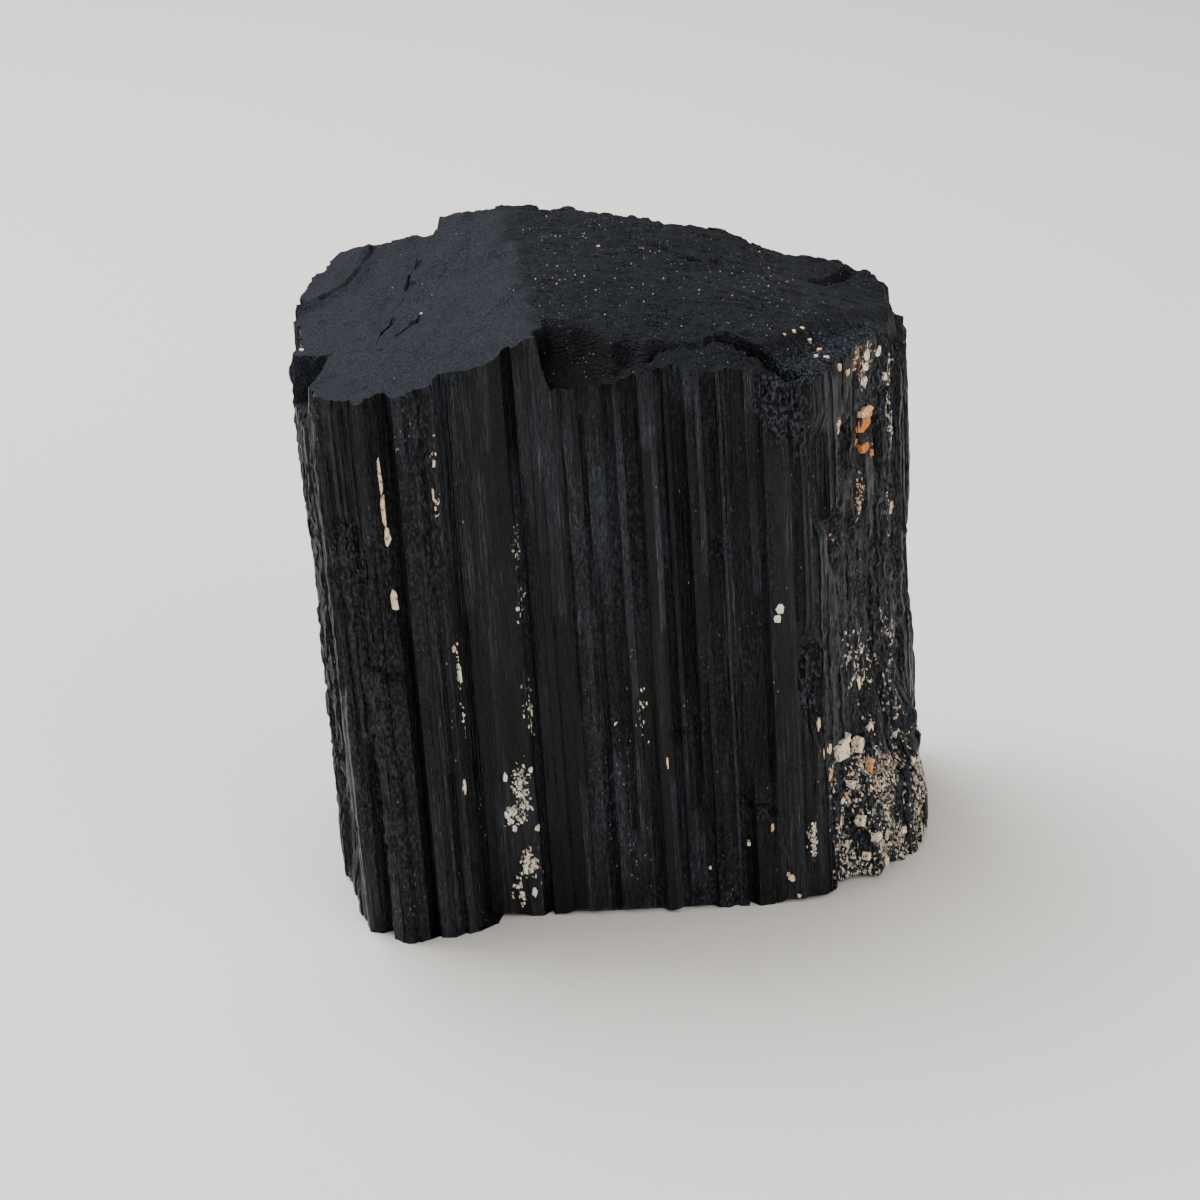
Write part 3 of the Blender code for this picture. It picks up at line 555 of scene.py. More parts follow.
def inside_oval(arc, height, oval):
    """One in the middle of an oval place of the sides, zero on its edge and negative outside."""
    x, y, middle, half_width, half_height = oval
    away = np.mod(arc - arc_near(x, y) + GIRTH / 2, GIRTH) - GIRTH / 2
    return 1.0 - (away / half_width) ** 2 - ((height - middle) / half_height) ** 2


def swell_relief(arc, height):
    """What the swellings and broken places of the sides add."""
    relief = np.zeros(np.broadcast(arc, height).shape)
    sway = SWELL_SWAY * waves(arc, height, SWELL_WAVE)
    for *oval, rise, edge in SWELLS:
        inside = inside_oval(arc, height, oval)
        swayed = inside + sway * ramp(inside * SWELL_SWAY_FADE + 1.0)
        relief = relief + rise * ramp(edge * swayed)
    return relief


def thin_plate(places, heights):
    """A smooth sheet through the given heights, as a function of x and y."""
    def bend(x, y):
        away = np.hypot(x[..., None] - places[:, 0], y[..., None] - places[:, 1])
        return away ** 2 * np.log(away + TINY)

    count = len(places)
    flat = np.column_stack([np.ones(count), places])
    system = np.zeros((count + 3, count + 3))
    system[:count, :count] = bend(places[:, 0], places[:, 1])
    system[:count, count:] = flat
    system[count:, :count] = flat.T
    weights = np.linalg.solve(system, np.concatenate([heights, np.zeros(3)]))
    level, slope_x, slope_y = weights[count:]
    return lambda x, y: bend(x, y) @ weights[:count] + level + slope_x * x + slope_y * y


TOP_TABLE = np.array(TOP_HEIGHTS)
TOP_SHEET = thin_plate(TOP_TABLE[:, :2], TOP_TABLE[:, 2])


def beside_line(x, y, line):
    """Signed distance from an open line, positive on its left, and the share of its chord passed."""
    line = np.array(line)
    best = np.full(x.shape, np.inf)
    signed = np.zeros(x.shape)
    for start, end in zip(line[:-1], line[1:]):
        run = end - start
        along = np.clip(((x - start[0]) * run[0] + (y - start[1]) * run[1]) / (run @ run), 0.0, 1.0)
        away = np.hypot(x - start[0] - along * run[0], y - start[1] - along * run[1])
        turn = run[0] * (y - start[1]) - run[1] * (x - start[0])
        nearer = away < best
        best = np.where(nearer, away, best)
        signed = np.where(nearer, np.sign(turn) * away, signed)
    chord = line[-1] - line[0]
    share = ((x - line[0, 0]) * chord[0] + (y - line[0, 1]) * chord[1]) / (chord @ chord)
    return signed, np.clip(share, 0.0, 1.0)


def break_start(x, y):
    """Where the front break begins, as a place along y."""
    return np.interp(x, BREAK_X, BREAK_Y) + BREAK_SWAY * waves(x, y, BREAK_WAVE)


def front_break(x, y):
    """Depth of the broken shelf along the front edge of the top."""
    start = break_start(x, y)
    fall = np.interp(x, BREAK_X, BREAK_FALL)
    run = np.interp(x, BREAK_X, BREAK_RUN)
    wall = BREAK_WALL_X + BREAK_SWAY * waves(y, 0.0, WALL_WAVE)
    beyond_wall = ramp((x - wall) / WALL_RUN)
    before_end = ramp((BREAK_X[-1] - x) / BREAK_END_RUN)
    return fall * ramp((start - y) / run) * beyond_wall * before_end


def notch(x, y):
    """Depth of the three-sided notch in the left rim."""
    inside = np.full(x.shape, np.inf)
    for start, end in zip(NOTCH, NOTCH[1:] + NOTCH[:1]):
        run = np.subtract(end, start)
        inside = np.minimum(inside, (run[0] * (y - start[1]) - run[1] * (x - start[0])) / np.hypot(*run))
    return NOTCH_FALL * ramp(inside / NOTCH_RUN)


def top_height(x, y):
    """Height of the broken top above a place of the base."""
    height = TOP_SHEET(x, y) + TOP_SWELL * waves(x, y, TOP_WAVE)
    height = height - front_break(x, y) - notch(x, y)
    sway = LEDGE_SWAY * waves(x, y, LEDGE_WAVE)
    for line, first_fall, last_fall, run in LEDGES:
        signed, share = beside_line(x, y, line)
        signed = signed + sway
        height = height - (first_fall + (last_fall - first_fall) * share) * ramp(signed / run + 0.5)
    beside, _ = beside_line(x, y, TROUGH)
    return height - TROUGH_FALL * ramp(1.0 - np.abs(beside) / TROUGH_HALF)


def smooth_mask(arc, height):
    """One on the smooth flats and zero off them."""
    arc = np.mod(arc, GIRTH)
    mask = np.zeros(np.broadcast(arc, height).shape)
    for low_x, high_x, low, high in SMOOTH_FLATS:
        across = ramp((arc - arc_at_x(low_x)) / SMOOTH_EDGE) * ramp((arc_at_x(high_x) - arc) / SMOOTH_EDGE)
        along = ramp((height - low) / SMOOTH_END) * ramp((high - height) / SMOOTH_END)
        mask = np.maximum(mask, across * along)
    return mask


def rough_mask(arc, height):
    """How broken the side is, from 0 to 1."""
    mask = ROUGH_GROUND + ROUGH_PATCH * np.clip(waves(arc, height, ROUGH_PATCHES), 0.0, 1.0)
    for *oval, strength in ROUGH_PLACES:
        mask = np.maximum(mask, strength * ramp(inside_oval(arc, height, oval) * ROUGH_EDGE))
    return mask * (1.0 - SMOOTH_HOLD * smooth_mask(arc, height))


def cut_depth(arc, height):
    """Depth of the cuts that run across the sides."""
    arc = np.mod(arc, GIRTH)
    depth = np.zeros(np.broadcast(arc, height).shape)
    for low_x, low, high_x, high, half_height, deepest in SIDE_CUTS:
        start, stop = arc_at_x(low_x), arc_at_x(high_x)
        middle = low + (high - low) * (arc - start) / (stop - start)
        middle = middle + CUT_SWAY * waves(arc, 0.0, CUT_WAVE)
        across = ramp((arc - start) / CUT_END) * ramp((stop - arc) / CUT_END)
        within = ramp(CUT_EDGE - CUT_EDGE * np.abs(height - middle) / half_height)
        depth = np.maximum(depth, deepest * across * within)
    return depth


def feldspar_cover(arc, height):
    """How much of the side pale feldspar covers, and how far rust stains it, both from 0 to 1."""
    cover = np.zeros(np.broadcast(arc, height).shape)
    stain = np.zeros(cover.shape)
    patches = FELDSPAR_MEAN + FELDSPAR_CONTRAST * waves(arc, height, FELDSPAR_PATCHES)
    patches = np.clip(patches, 0.0, FELDSPAR_MOST)
    for *oval, share, rust in FELDSPAR_PLACES:
        here = share * ramp(FELDSPAR_EDGE * inside_oval(arc, height, oval)) * patches
        stain = np.where(here > cover, rust, stain)
        cover = np.maximum(cover, here)
    return cover, stain


def make_fine_ribs():
    """Start, end, parent rib, depth, tilt, two stretch lengths and a phase of every fine rib."""
    chance = np.random.default_rng(FINE_SEED)
    made = []
    for rib, (start, end, *_) in enumerate(RIBS):
        at, last = start + STEP_HALF, end - STEP_HALF
        while at < last:
            calm = float(smooth_mask(np.array(at + CALM_PLACE[0]), np.array(CALM_PLACE[1])))
            width = chance.uniform(*FINE_WIDTHS) * (1.0 + CALM_WIDER * calm)
            stop = last if last - at - width < FINE_WIDTHS[0] else at + width
            depth = chance.uniform(0.0, FINE_DEPTH) * (1.0 - CALM_SHALLOWER * calm)
            tilt = chance.uniform(-FINE_TILT, FINE_TILT) * (1.0 - CALM_FLATTER * calm)
            long = chance.uniform(*LONG_STRETCH)
            short = chance.uniform(*SHORT_STRETCH)
            made.append((at, stop, rib, depth, tilt, long, short, chance.uniform(0.0, PHASE_SPAN)))
            at = stop
    return np.array(made)


FINE_RIBS = make_fine_ribs()
STRETCH_TABLE = np.random.default_rng(FINE_SEED + 1).uniform(0.0, 1.0, (len(FINE_RIBS), NOISE_CELLS))


def stretched(fine, height, length, phase):
    """Values from 0 to 1 that hold over a stretch of a fine rib, then change abruptly."""
    cell = height / length + phase
    lower = np.floor(cell).astype(int)
    change = ramp((cell - lower - 1.0 + STRETCH_CHANGE) / STRETCH_CHANGE)
    now = STRETCH_TABLE[fine, lower % NOISE_CELLS]
    after = STRETCH_TABLE[fine, (lower + 1) % NOISE_CELLS]
    return now * (1.0 - change) + after * change


def fine_relief(arc, fine, across, height):
    """How far the finished side stands out from the outline, in full detail."""
    start, stop, rib, depth, tilt, long, short, phase = FINE_RIBS[fine].T
    rib = rib.astype(int)
    rib_start, rib_end = RIBS[rib, 0], RIBS[rib, 1]
    across_rib = np.clip((arc - (rib_start + rib_end) / 2) / ((rib_end - rib_start) / 2), -1.0, 1.0)
    relief = rib_relief(rib, across_rib, height) + swell_relief(arc, height)
    rough = rough_mask(arc, height)
    calm = 1.0 - CALM_LONGER * smooth_mask(arc, height)
    cuts = depth + LONG_DEPTH * calm * stretched(fine, height, long, phase)
    cuts = cuts + SHORT_DEPTH * rough * stretched(fine, height, short, phase * SHORT_PHASE)
    broken = 1.0 - np.abs(waves(arc, height, ROUGH_RIDGES)) / ROUGH_RIDGE
    cuts = cuts + ROUGH_DEPTH * rough * np.clip(broken, 0.0, 1.0) + cut_depth(arc, height)
    return relief - cuts + tilt * across - np.abs(tilt)


def rib_shade(fine, height):
    """A lightness from 0 to 1 that holds over a stretch of a fine rib."""
    return stretched(fine, height, FINE_RIBS[fine, 5], FINE_RIBS[fine, 7] + SHADE_PHASE)


def fine_columns():
    """Arc, fine rib and place across it of every upright line of the finished sides."""
    arcs, fines, across = [], [], []
    for fine, (start, stop, *_) in enumerate(FINE_RIBS):
        shares = (-1.0, 0.0, 1.0) if stop - start > FINE_MIDDLE else (-1.0, 1.0)
        for share in shares:
            arcs.append((start + stop) / 2 + share * ((stop - start) / 2 - FINE_GAP / 2))
            fines.append(fine)
            across.append(share)
    return np.array(arcs), np.array(fines), np.array(across)


def turned(x, y, middle_x, middle_y, degrees):
    """Places seen from a middle, along and across a direction."""
    turn = np.radians(degrees)
    right, up = x - middle_x, y - middle_y
    return right * np.cos(turn) + up * np.sin(turn), up * np.cos(turn) - right * np.sin(turn)


def pit_depth(x, y):
    depth = np.zeros(x.shape)
    for middle_x, middle_y, half_length, half_width, degrees, deepest in TOP_PITS:
        along, across = turned(x, y, middle_x, middle_y, degrees)
        inside = 1.0 - (along / half_length) ** 2 - (across / half_width) ** 2
        depth = np.maximum(depth, deepest * ramp(inside * PIT_EDGE))
    return depth


def crack_sway(y):
    """How far the cracks stray along x."""
    return CRACK_SWAY * waves(y, CRACK_ROW, CRACK_WAVE)


def crack_depth(x, y):
    """Depth of the thin cracks of the top."""
    depth = np.zeros(x.shape)
    for line, half_width, deepest in CRACKS:
        signed, share = beside_line(x + crack_sway(y), y, line)
        ends = ramp(CRACK_END * share) * ramp(CRACK_END - CRACK_END * share)
        depth = np.maximum(depth, deepest * ends * ramp(1.0 - np.abs(signed) / half_width))
    return depth


def gap_depth(x, y):
    """Depth of the dark gap under the front break's cliff."""
    foot = break_start(x, y) - np.interp(x, BREAK_X, BREAK_RUN)
    within = ramp(GAP_EDGE - GAP_EDGE * np.abs(y - foot) / np.interp(x, GAP_X, GAP_HALF))
    return np.interp(x, GAP_X, GAP_DEPTH, left=0.0, right=0.0) * within


def break_slope_and_crack_shade_mask(x, y):
    """Darkening of the top: one on the slope of the front break, and painted shade in the cracks of the top
    and in the gap along the break's cliff, the more the deeper they are.
    """
    slope = ramp(front_break(x, y) / BREAK_FULL) * np.interp(x, CRUMBLE_X, CRUMBLE_SHARE)
    return np.maximum(slope, ramp((crack_depth(x, y) + gap_depth(x, y)) / CRACK_FULL_SHADE))


def corner_mask(x, y):
    """One on the broken corner at the right of the top."""
    return ramp(beside_line(x, y, LEDGES[-1][0])[0] / CORNER_BLEND + 0.5)


def plateau_mask(x, y):
    """One on the grainy plateau and zero on the smooth left lobe."""
    wobble = LOBE_WOBBLE * waves(x, y, LOBE_WAVE)
    return ramp((wobble - beside_line(x, y, LOBE_LINE)[0]) / LOBE_BLEND + 0.5)


def lobe_relief(x, y, grain):
    """Low steps and fine grain of the smooth lobe."""
    across = x * HACKLE_DIRECTION[1] - y * HACKLE_DIRECTION[0]
    along = x * HACKLE_DIRECTION[0] + y * HACKLE_DIRECTION[1]
    bend = HACKLE_BEND * waves(x, y, HACKLE_BEND_WAVE)
    slope = fractal(across / HACKLE_ACROSS + bend, along / HACKLE_ALONG, HACKLE_SEED, 3)
    hackle = sum(ramp((slope - start) / run) for start, run in HACKLE_RISES) + HACKLE_SLOPE * slope
    return HACKLE_STEP * hackle + LOBE_GRAIN * grain


def plateau_relief(x, y, grain):
    """Grain, crevices and swells of the plateau."""
    crevice = 1.0 - ramp(np.abs(waves(x, y, CREVICE_WAVE)) / CREVICE_HALF)
    return GRAIN_STEP * grain - CREVICE_STEP * crevice + PLATEAU_SWELL * waves(x, y, PLATEAU_WAVE)


def finished_top(x, y):
    """Height of the top in full detail."""
    plateau = plateau_mask(x, y)
    grain = waves(x, y, GRAIN_WAVE)
    rubble = waves(x + y, x - y, CORNER_WAVE)
    broken = ramp(front_break(x, y) / BREAK_FULL) * BREAK_ROUGH * waves(x, y, BREAK_ROUGH_WAVE)
    height = top_height(x, y) + broken
    height = height + lobe_relief(x, y, grain) * (1.0 - plateau) + plateau_relief(x, y, grain) * plateau
    height = height - CORNER_ROUGH * corner_mask(x, y) * (CORNER_SHIFT + rubble)
    return height - pit_depth(x, y) - crack_depth(x, y) - gap_depth(x, y)


def rim_chips(arcs, height, top):
    """How far the side is chipped back under the top's edge."""
    near = ramp(1.0 - (top - height) / RIM_CHIP_RUN)
    return RIM_CHIP * near * np.clip(waves(arcs, top, RIM_CHIP_WAVE) + RIM_CHIP_SHIFT, 0.0, 1.0)


def side_points(arcs, fines, across, height, top):
    relief = fine_relief(arcs, fines, across, height) - rim_chips(arcs, height, top)
    return outline_point(arcs) + outward(arcs) * relief[..., None]


def stand(places, height):
    """Points in space above places of the base, on the leaning columns."""
    return np.column_stack([places[:, 0] - LEAN * height, places[:, 1], height])


def side_rows(arcs, fines, across):
    """The rings of points round the block, the height of each point, and the top ring's base places."""
    chips = waves(arcs, 0.0, FOOT_CHIP_WAVE) + FOOT_CRUMB * waves(arcs, FOOT_CRUMB_ROW, FOOT_CRUMB_WAVE)
    foot = FOOT_CHIP * np.clip(chips + FOOT_CHIP_SHIFT, 0.0, 1.0)
    rim = outline_point(arcs)
    top = finished_top(rim[:, 0], rim[:, 1])
    rim = side_points(arcs, fines, across, top, top)
    top = finished_top(rim[:, 0], rim[:, 1])
    rows, heights = [], []
    for share in np.linspace(0.0, 1.0, ROWS + 1)[:-1]:
        height = foot + share * (top - foot)
        rows.append(stand(side_points(arcs, fines, across, height, top), height))
        heights.append(height)
    rows.append(stand(rim, top))
    heights.append(top)
    return rows, heights, rim


def inside_ring(places, ring, clear):
    """Which places lie inside the ring and at least the given distance from it."""
    following = np.roll(ring, -1, axis=0)
    crossings = np.zeros(len(places), int)
    nearest = np.full(len(places), np.inf)
    for start, end in zip(ring, following):
        run = end - start
        offset = places - start
        spans = (start[1] > places[:, 1]) != (end[1] > places[:, 1])
        slope = run[0] * offset[:, 1] - run[1] * offset[:, 0]
        crossings += spans & ((slope > 0) == (run[1] > 0))
        along = np.clip(offset @ run / (run @ run), 0.0, 1.0)
        nearest = np.minimum(nearest, np.hypot(*(offset - along[:, None] * run).T))
    return (crossings % 2 == 1) & (nearest > clear)


def crack_places():
    """Places along the middle and both lips of every crack of the top."""
    places = []
    for line, half_width, _ in CRACKS:
        line = np.array(line)
        length = np.concatenate([[0.0], np.cumsum(np.hypot(*np.diff(line, axis=0).T))])
        at = np.arange(0.0, length[-1], CRACK_SPACING)
        middle = np.column_stack([np.interp(at, length, line[:, 0]), np.interp(at, length, line[:, 1])])
        middle[:, 0] -= crack_sway(middle[:, 1])
        run = np.gradient(middle, axis=0)
        run /= np.linalg.norm(run, axis=1, keepdims=True)
        side = np.column_stack([-run[:, 1], run[:, 0]]) * half_width
        places += [middle, middle + side, middle - side]
    return np.vstack(places)


def apart(places, kept, clear):
    """The places that keep the given distance from all kept ones."""
    tree = KDTree(len(kept))
    for number, place in enumerate(kept):
        tree.insert((*place, 0.0), number)
    tree.balance()
    return np.array([place for place in places if tree.find((*place, 0.0))[2] > clear])


def top_grid(ring):
    """A staggered grid of places inside the top's edge, with finer places along its cracks."""
    low, high = ring.min(axis=0), ring.max(axis=0)
    rows = np.arange(low[1], high[1], TOP_SPACING * ROW_SHARE)
    grid = np.array([(x + (i % 2) * TOP_SPACING / 2, y) for i, y in enumerate(rows)
                     for x in np.arange(low[0], high[0], TOP_SPACING)])
    chance = np.random.default_rng(TOP_GRID_SEED)
    grid = grid + chance.uniform(-TOP_SCATTER, TOP_SCATTER, grid.shape) * TOP_SPACING
    grid = grid[inside_ring(grid, ring, RIM_CLEAR)]
    cracks = crack_places()
    cracks = cracks[inside_ring(cracks, ring, RIM_CLEAR)]
    return np.vstack([cracks, apart(grid, cracks, CRACK_CLEAR * TOP_SPACING)])


def fill_ring(ring, inner):
    """Triangles that fill a ring and use the inner places, which are numbered after the ring's."""
    places = np.vstack([ring, inner]) if len(inner) else ring
    edges = [(i, (i + 1) % len(ring)) for i in range(len(ring))]
    result = delaunay_2d_cdt([tuple(place) for place in places], edges, [], 1, MERGE)
    origins = [found[0] for found in result[3]]
    triangles = []
    for face in result[2]:
        a, b, c = (origins[corner] for corner in face)
        turn = np.cross(places[b] - places[a], places[c] - places[a])
        triangles.append((a, b, c) if turn > 0 else (a, c, b))
    return triangles


# How the surface is laid out flat: each stretch of side is a rectangle, and top and foot lie beside them
UV_SPAN = 186.0
UV_EDGE = 0.008
UV_ROW = 0.42
UV_COLUMN = 0.69
TALLEST = 75.0
PLAN_SHIFTS = (0.0, UV_ROW, UV_ROW)


def stone_grid(count):
    """Faces of the side between the rings, and the corners' numbers of column and row."""
    column, row = np.meshgrid(np.arange(count), np.arange(ROWS))
    corners_column = np.stack([column, column + 1, column + 1, column], axis=-1).reshape(-1, 4)
    corners_row = np.stack([row, row, row + 1, row + 1], axis=-1).reshape(-1, 4)
    faces = corners_row * count + corners_column % count
    return faces, corners_column, corners_row


def side_map(arcs, corners_column, corners_row):
    """Flat layout of the side's face corners, in two stretches one above the other."""
    around = np.concatenate([arcs, arcs[:1] + GIRTH])[corners_column] - arcs[0]
    upper = corners_column.min(axis=1, keepdims=True) >= np.searchsorted(arcs - arcs[0], GIRTH / 2)
    left = np.where(upper, around - GIRTH / 2, around) / UV_SPAN + UV_EDGE
    low = corners_row / ROWS * TALLEST / UV_SPAN + UV_EDGE + np.where(upper, UV_ROW, 0.0)
    return np.stack([left, low], axis=-1).reshape(-1, 2)


def plan_map(places, shift):
    """Flat layout of places on the top or the foot."""
    low = LOOP.min(axis=0)
    return np.column_stack([(places[:, 1] - low[1]) / UV_SPAN + UV_COLUMN,
                            (places[:, 0] - low[0]) / UV_SPAN + UV_EDGE + shift])


def point_values(mesh, name, values):
    """Stores one number, or one place, for each point."""
    values = np.asarray(values, np.float32)
    kind, field = ("FLOAT_VECTOR", "vector") if values.ndim == 2 else ("FLOAT", "value")
    mesh.attributes.new(name, kind, "POINT").data.foreach_set(field, values.ravel())


def make_mesh(name, places, faces):
    """A mesh from places in millimetres on the base's frame, kept inside the CAD's box."""
    placed = (places - (CENTRE[0], CENTRE[1], 0.0)) * MM
    placed = np.clip(placed, np.array(CAD_BOX[0]), np.array(CAD_BOX[1]))
    mesh = bpy.data.meshes.new(name)
    mesh.from_pydata(placed.tolist(), [], faces)
    return mesh


def place_object(name, data):
    """Puts a mesh, a light or a camera into the scene."""
    thing = bpy.data.objects.new(name, data)
    bpy.context.scene.collection.objects.link(thing)
    return thing


def shade_points(mesh, base, around, shade):
    """Gives every point the values that the materials read; the first ones given a shade are the sides."""
    x, y, height = base.T
    on_side = (np.arange(len(base)) < len(shade)).astype(float)
    cover, stain = feldspar_cover(around, height)
    values = {
        "place": base,
        "plateau": plateau_mask(x, y),
        "break_slope_and_crack_shade": break_slope_and_crack_shade_mask(x, y),
        "rough": rough_mask(around, height) * on_side + corner_mask(x, y) * (1.0 - on_side),
        "calm": smooth_mask(around, height) * on_side,
        "cover": cover * on_side,
        "stain": stain * on_side,
        "shade": np.concatenate([shade, np.zeros(len(base) - len(shade))]),
    }
    for name, value in values.items():
        point_values(mesh, name, value)


def make_stone():
    """The whole finished block as one closed mesh with its layout and its shading values."""
    arcs, fines, across = fine_columns()
    count = len(arcs)
    rows, heights, rim = side_rows(arcs, fines, across)
    inner = top_grid(rim)
    flat = np.array(CENTRE) + (outline_point(arcs) - CENTRE) * FOOT_FLAT_SHARE
    top_points = stand(inner, finished_top(inner[:, 0], inner[:, 1]))
    points = np.vstack(rows + [top_points, stand(flat, np.zeros(count))])
    base = points.copy()
    base[:, 0] += LEAN * base[:, 2]

    first_inner = (ROWS + 1) * count
    first_flat = first_inner + len(inner)
    numbers = np.concatenate([ROWS * count + np.arange(count), first_inner + np.arange(len(inner))])
    turn = np.arange(count)
    following = (turn + 1) % count
    side_faces, corners_column, corners_row = stone_grid(count)
    top_faces = numbers[np.array(fill_ring(rim, inner))]
    chip_faces = np.column_stack([first_flat + turn, first_flat + following, following, turn])
    foot_faces = first_flat + np.array(fill_ring(flat, []))[:, ::-1]
    groups = (side_faces, top_faces, chip_faces, foot_faces)

    faces = [tuple(face) for group in groups for face in group.tolist()]
    mesh = make_mesh("black_tourmaline_block", points, faces)
    surfaces = np.repeat((0, 1, 0, 1), [len(group) for group in groups])
    mesh.polygons.foreach_set("material_index", surfaces)
    layout = [side_map(arcs, corners_column, corners_row)]
    layout += [plan_map(base[group.ravel(), :2], shift) for group, shift in zip(groups[1:], PLAN_SHIFTS)]
    mesh.uv_layers.new(name="OFBake").data.foreach_set("uv", np.vstack(layout).ravel())

    around = np.concatenate([np.tile(arcs, ROWS + 1), np.zeros(len(inner)), arcs])
    shade_points(mesh, base, around, rib_shade(np.tile(fines, ROWS + 1), np.concatenate(heights)))
    return mesh


def new_material(name):
    material = bpy.data.materials.new(name)
    material.use_nodes = True
    tree = material.node_tree
    return material, tree, tree.nodes["Principled BSDF"]


def add(tree, kind, inputs=(), **settings):
    """A new node, whose inputs are given as values or as other nodes' outputs."""
    node = tree.nodes.new(kind)
    for name, value in settings.items():
        setattr(node, name, value)
    for name, value in dict(inputs).items():
        if isinstance(value, bpy.types.NodeSocket):
            tree.links.new(value, node.inputs[name])
        else:
            node.inputs[name].default_value = value
    return node


def attribute(tree, name, output="Fac"):
    return add(tree, "ShaderNodeAttribute", attribute_name=name).outputs[output]


def spread(tree, scale):
    """Places on the stone in millimetres, multiplied by a pattern's count per millimetre."""
    place = attribute(tree, "place", "Vector")
    return add(tree, "ShaderNodeVectorMath", {0: place, 1: scale}, operation="MULTIPLY").outputs[0]


def noise(tree, scale, detail):
    inputs = {"Vector": spread(tree, scale), "Scale": 1.0, "Detail": detail}
    return add(tree, "ShaderNodeTexNoise", inputs).outputs["Fac"]


def cells(tree, scale):
    """Random cells: distance from the middle, and two random values of each cell."""
    node = add(tree, "ShaderNodeTexVoronoi", {"Vector": spread(tree, scale), "Scale": 1.0})
    chances = add(tree, "ShaderNodeSeparateColor", {"Color": node.outputs["Color"]})
    return node.outputs["Distance"], chances.outputs["Red"], chances.outputs["Green"]


def math(tree, operation, first, second):
    return add(tree, "ShaderNodeMath", {0: first, 1: second}, operation=operation).outputs[0]


def times(tree, first, second):
    return math(tree, "MULTIPLY", first, second)


def plus(tree, first, second):
    return math(tree, "ADD", first, second)


def between(tree, value, low, high, start=0.0, stop=1.0):
    """The value's way from low to high, turned into one from start to stop and held there."""
    inputs = {"Value": value, "From Min": low, "From Max": high, "To Min": start, "To Max": stop}
    return add(tree, "ShaderNodeMapRange", inputs).outputs["Result"]


def blend(tree, share, first, second):
    inputs = {"Fac": share, "Color1": first, "Color2": second}
    return add(tree, "ShaderNodeMixRGB", inputs).outputs["Color"]


def bump(tree, height, distance):
    inputs = {"Height": height, "Distance": distance * MM, "Strength": 1.0}
    return add(tree, "ShaderNodeBump", inputs).outputs["Normal"]


def finish(tree, shader, colour, roughness, normal, gloss):
    tree.links.new(colour, shader.inputs["Base Color"])
    tree.links.new(roughness, shader.inputs["Roughness"])
    tree.links.new(normal, shader.inputs["Normal"])
    shader.inputs["IOR"].default_value = STONE_IOR
    shader.inputs["Specular IOR Level"].default_value = gloss


# Noise patterns of the materials: counts per millimetre along x, y and z, and detail
STREAKS = ((2.4, 2.4, 0.07), 4.0)
PATCHES = ((0.22, 0.22, 0.06), 3.0)
SCRATCHES = ((9.0, 9.0, 0.8), 3.0)
LINES = ((6.5, 6.5, 0.11), 3.0)
CLUSTERS = ((0.35, 0.35, 0.09), 3.0)
CRUMBS = ((2.8, 2.8, 1.6), 5.0)
SHEEN = ((2.5, 2.5, 0.25), 3.0)
THREADS = ((4.2, 4.2, 0.16), 3.0)
SPAR_EDGE = ((6.0, 6.0, 4.5), 3.0)
RUST_COLUMNS = ((0.55, 0.55, 0.16), 3.0)
TOP_CLOUDS = ((0.5, 0.25, 0.3), 4.0)
TOP_GRIT = ((3.6, 3.6, 3.0), 5.0)
TOP_DASHES = ((1.3, 4.2, 2.0), 3.0)
TOP_TOOTH = ((7.0, 7.0, 7.0), 2.0)
GRAIN_CLOUDS = ((1.4, 1.4, 1.4), 4.0)
GRAIN_DUST = ((2.6, 2.6, 2.0), 5.0)

# Patterns of random cells: counts per millimetre
SIDE_GLINTS = (4.6, 4.6, 1.5)
SPAR_CELLS = (3.9, 3.9, 2.6)
TOP_GLINTS = (4.4, 4.4, 4.4)

# Shares of the streaks, the patches and the ribs' own shade in a rib's lightness
STREAK_SHARE = 0.55
PATCH_SHARE = 0.35
SHADE_SHARE = 0.32

# Ranges of the materials: where a value starts and ends to count, and what that gives at both ends
RIB_BLUE = (0.62, 0.84)
RIB_SOOT = (0.42, 0.20, 0.0, 0.9)
LINE_EDGE = (0.60, 0.63)
LINE_BY_PATCH = (0.40, 0.60, 0.15, 0.9)
LINE_BY_SHADE = (0.35, 0.75, 0.15, 1.0)
# darkens where the scratch bump sinks: painted shade in its grooves
SCRATCH_GROOVE_SHADE = (0.56, 0.40, 0.0, 0.8)
GLINT_CROWD = (0.54, 0.76, 0.0, 0.20)
GLINT_BY_CALM = (0.0, 1.0, 1.0, 0.12)
GLINT_BY_CLUSTER = (0.5, 0.7, 0.15, 0.7)
CRUMB_EDGE = (0.48, 0.61)
CRUMB_BY_ROUGH = (0.0, 1.0, 0.30, 1.8)
THREAD_BY_CALM = (0.0, 1.0, 1.0, 0.35)
SHEEN_ROUGHNESS = (0.3, 0.7, 0.22, 0.46)
SPAR_RAGGED = (0.3, 0.7, 0.5, 1.5)
SPAR_WHITE = (0.25, 0.7)
SPAR_CREAM = (0.7, 0.9)
STAIN_BY_COLUMN = (0.44, 0.60, 0.10, 1.9)
STAIN_BY_CHANCE = (0.0, 0.5, 0.4, 1.0)
LOBE_CLOUD = (0.42, 0.66, 0.0, 0.6)
LOBE_DARK_GRAIN = (0.53, 0.62, 0.0, 0.85)
LOBE_PALE_GRAIN = (0.46, 0.37, 0.0, 0.6)
PLATEAU_GRAIN = (0.40, 0.60)
PLATEAU_DENT_SHADE = (0.56, 0.66, 0.0, 0.8)
TOP_CRUMB = (0.50, 0.64)
TOP_GLINT_BY_PLATEAU = (0.0, 1.0, 0.02, 0.13)
TOP_GLINT_BY_CLOUD = (0.45, 0.62)
TOP_GLINT_SIZE = (0.35, 0.65, 0.08, 0.36)
TOP_GLINT_BY_DASH = (0.4, 0.6, 0.20, 0.75)
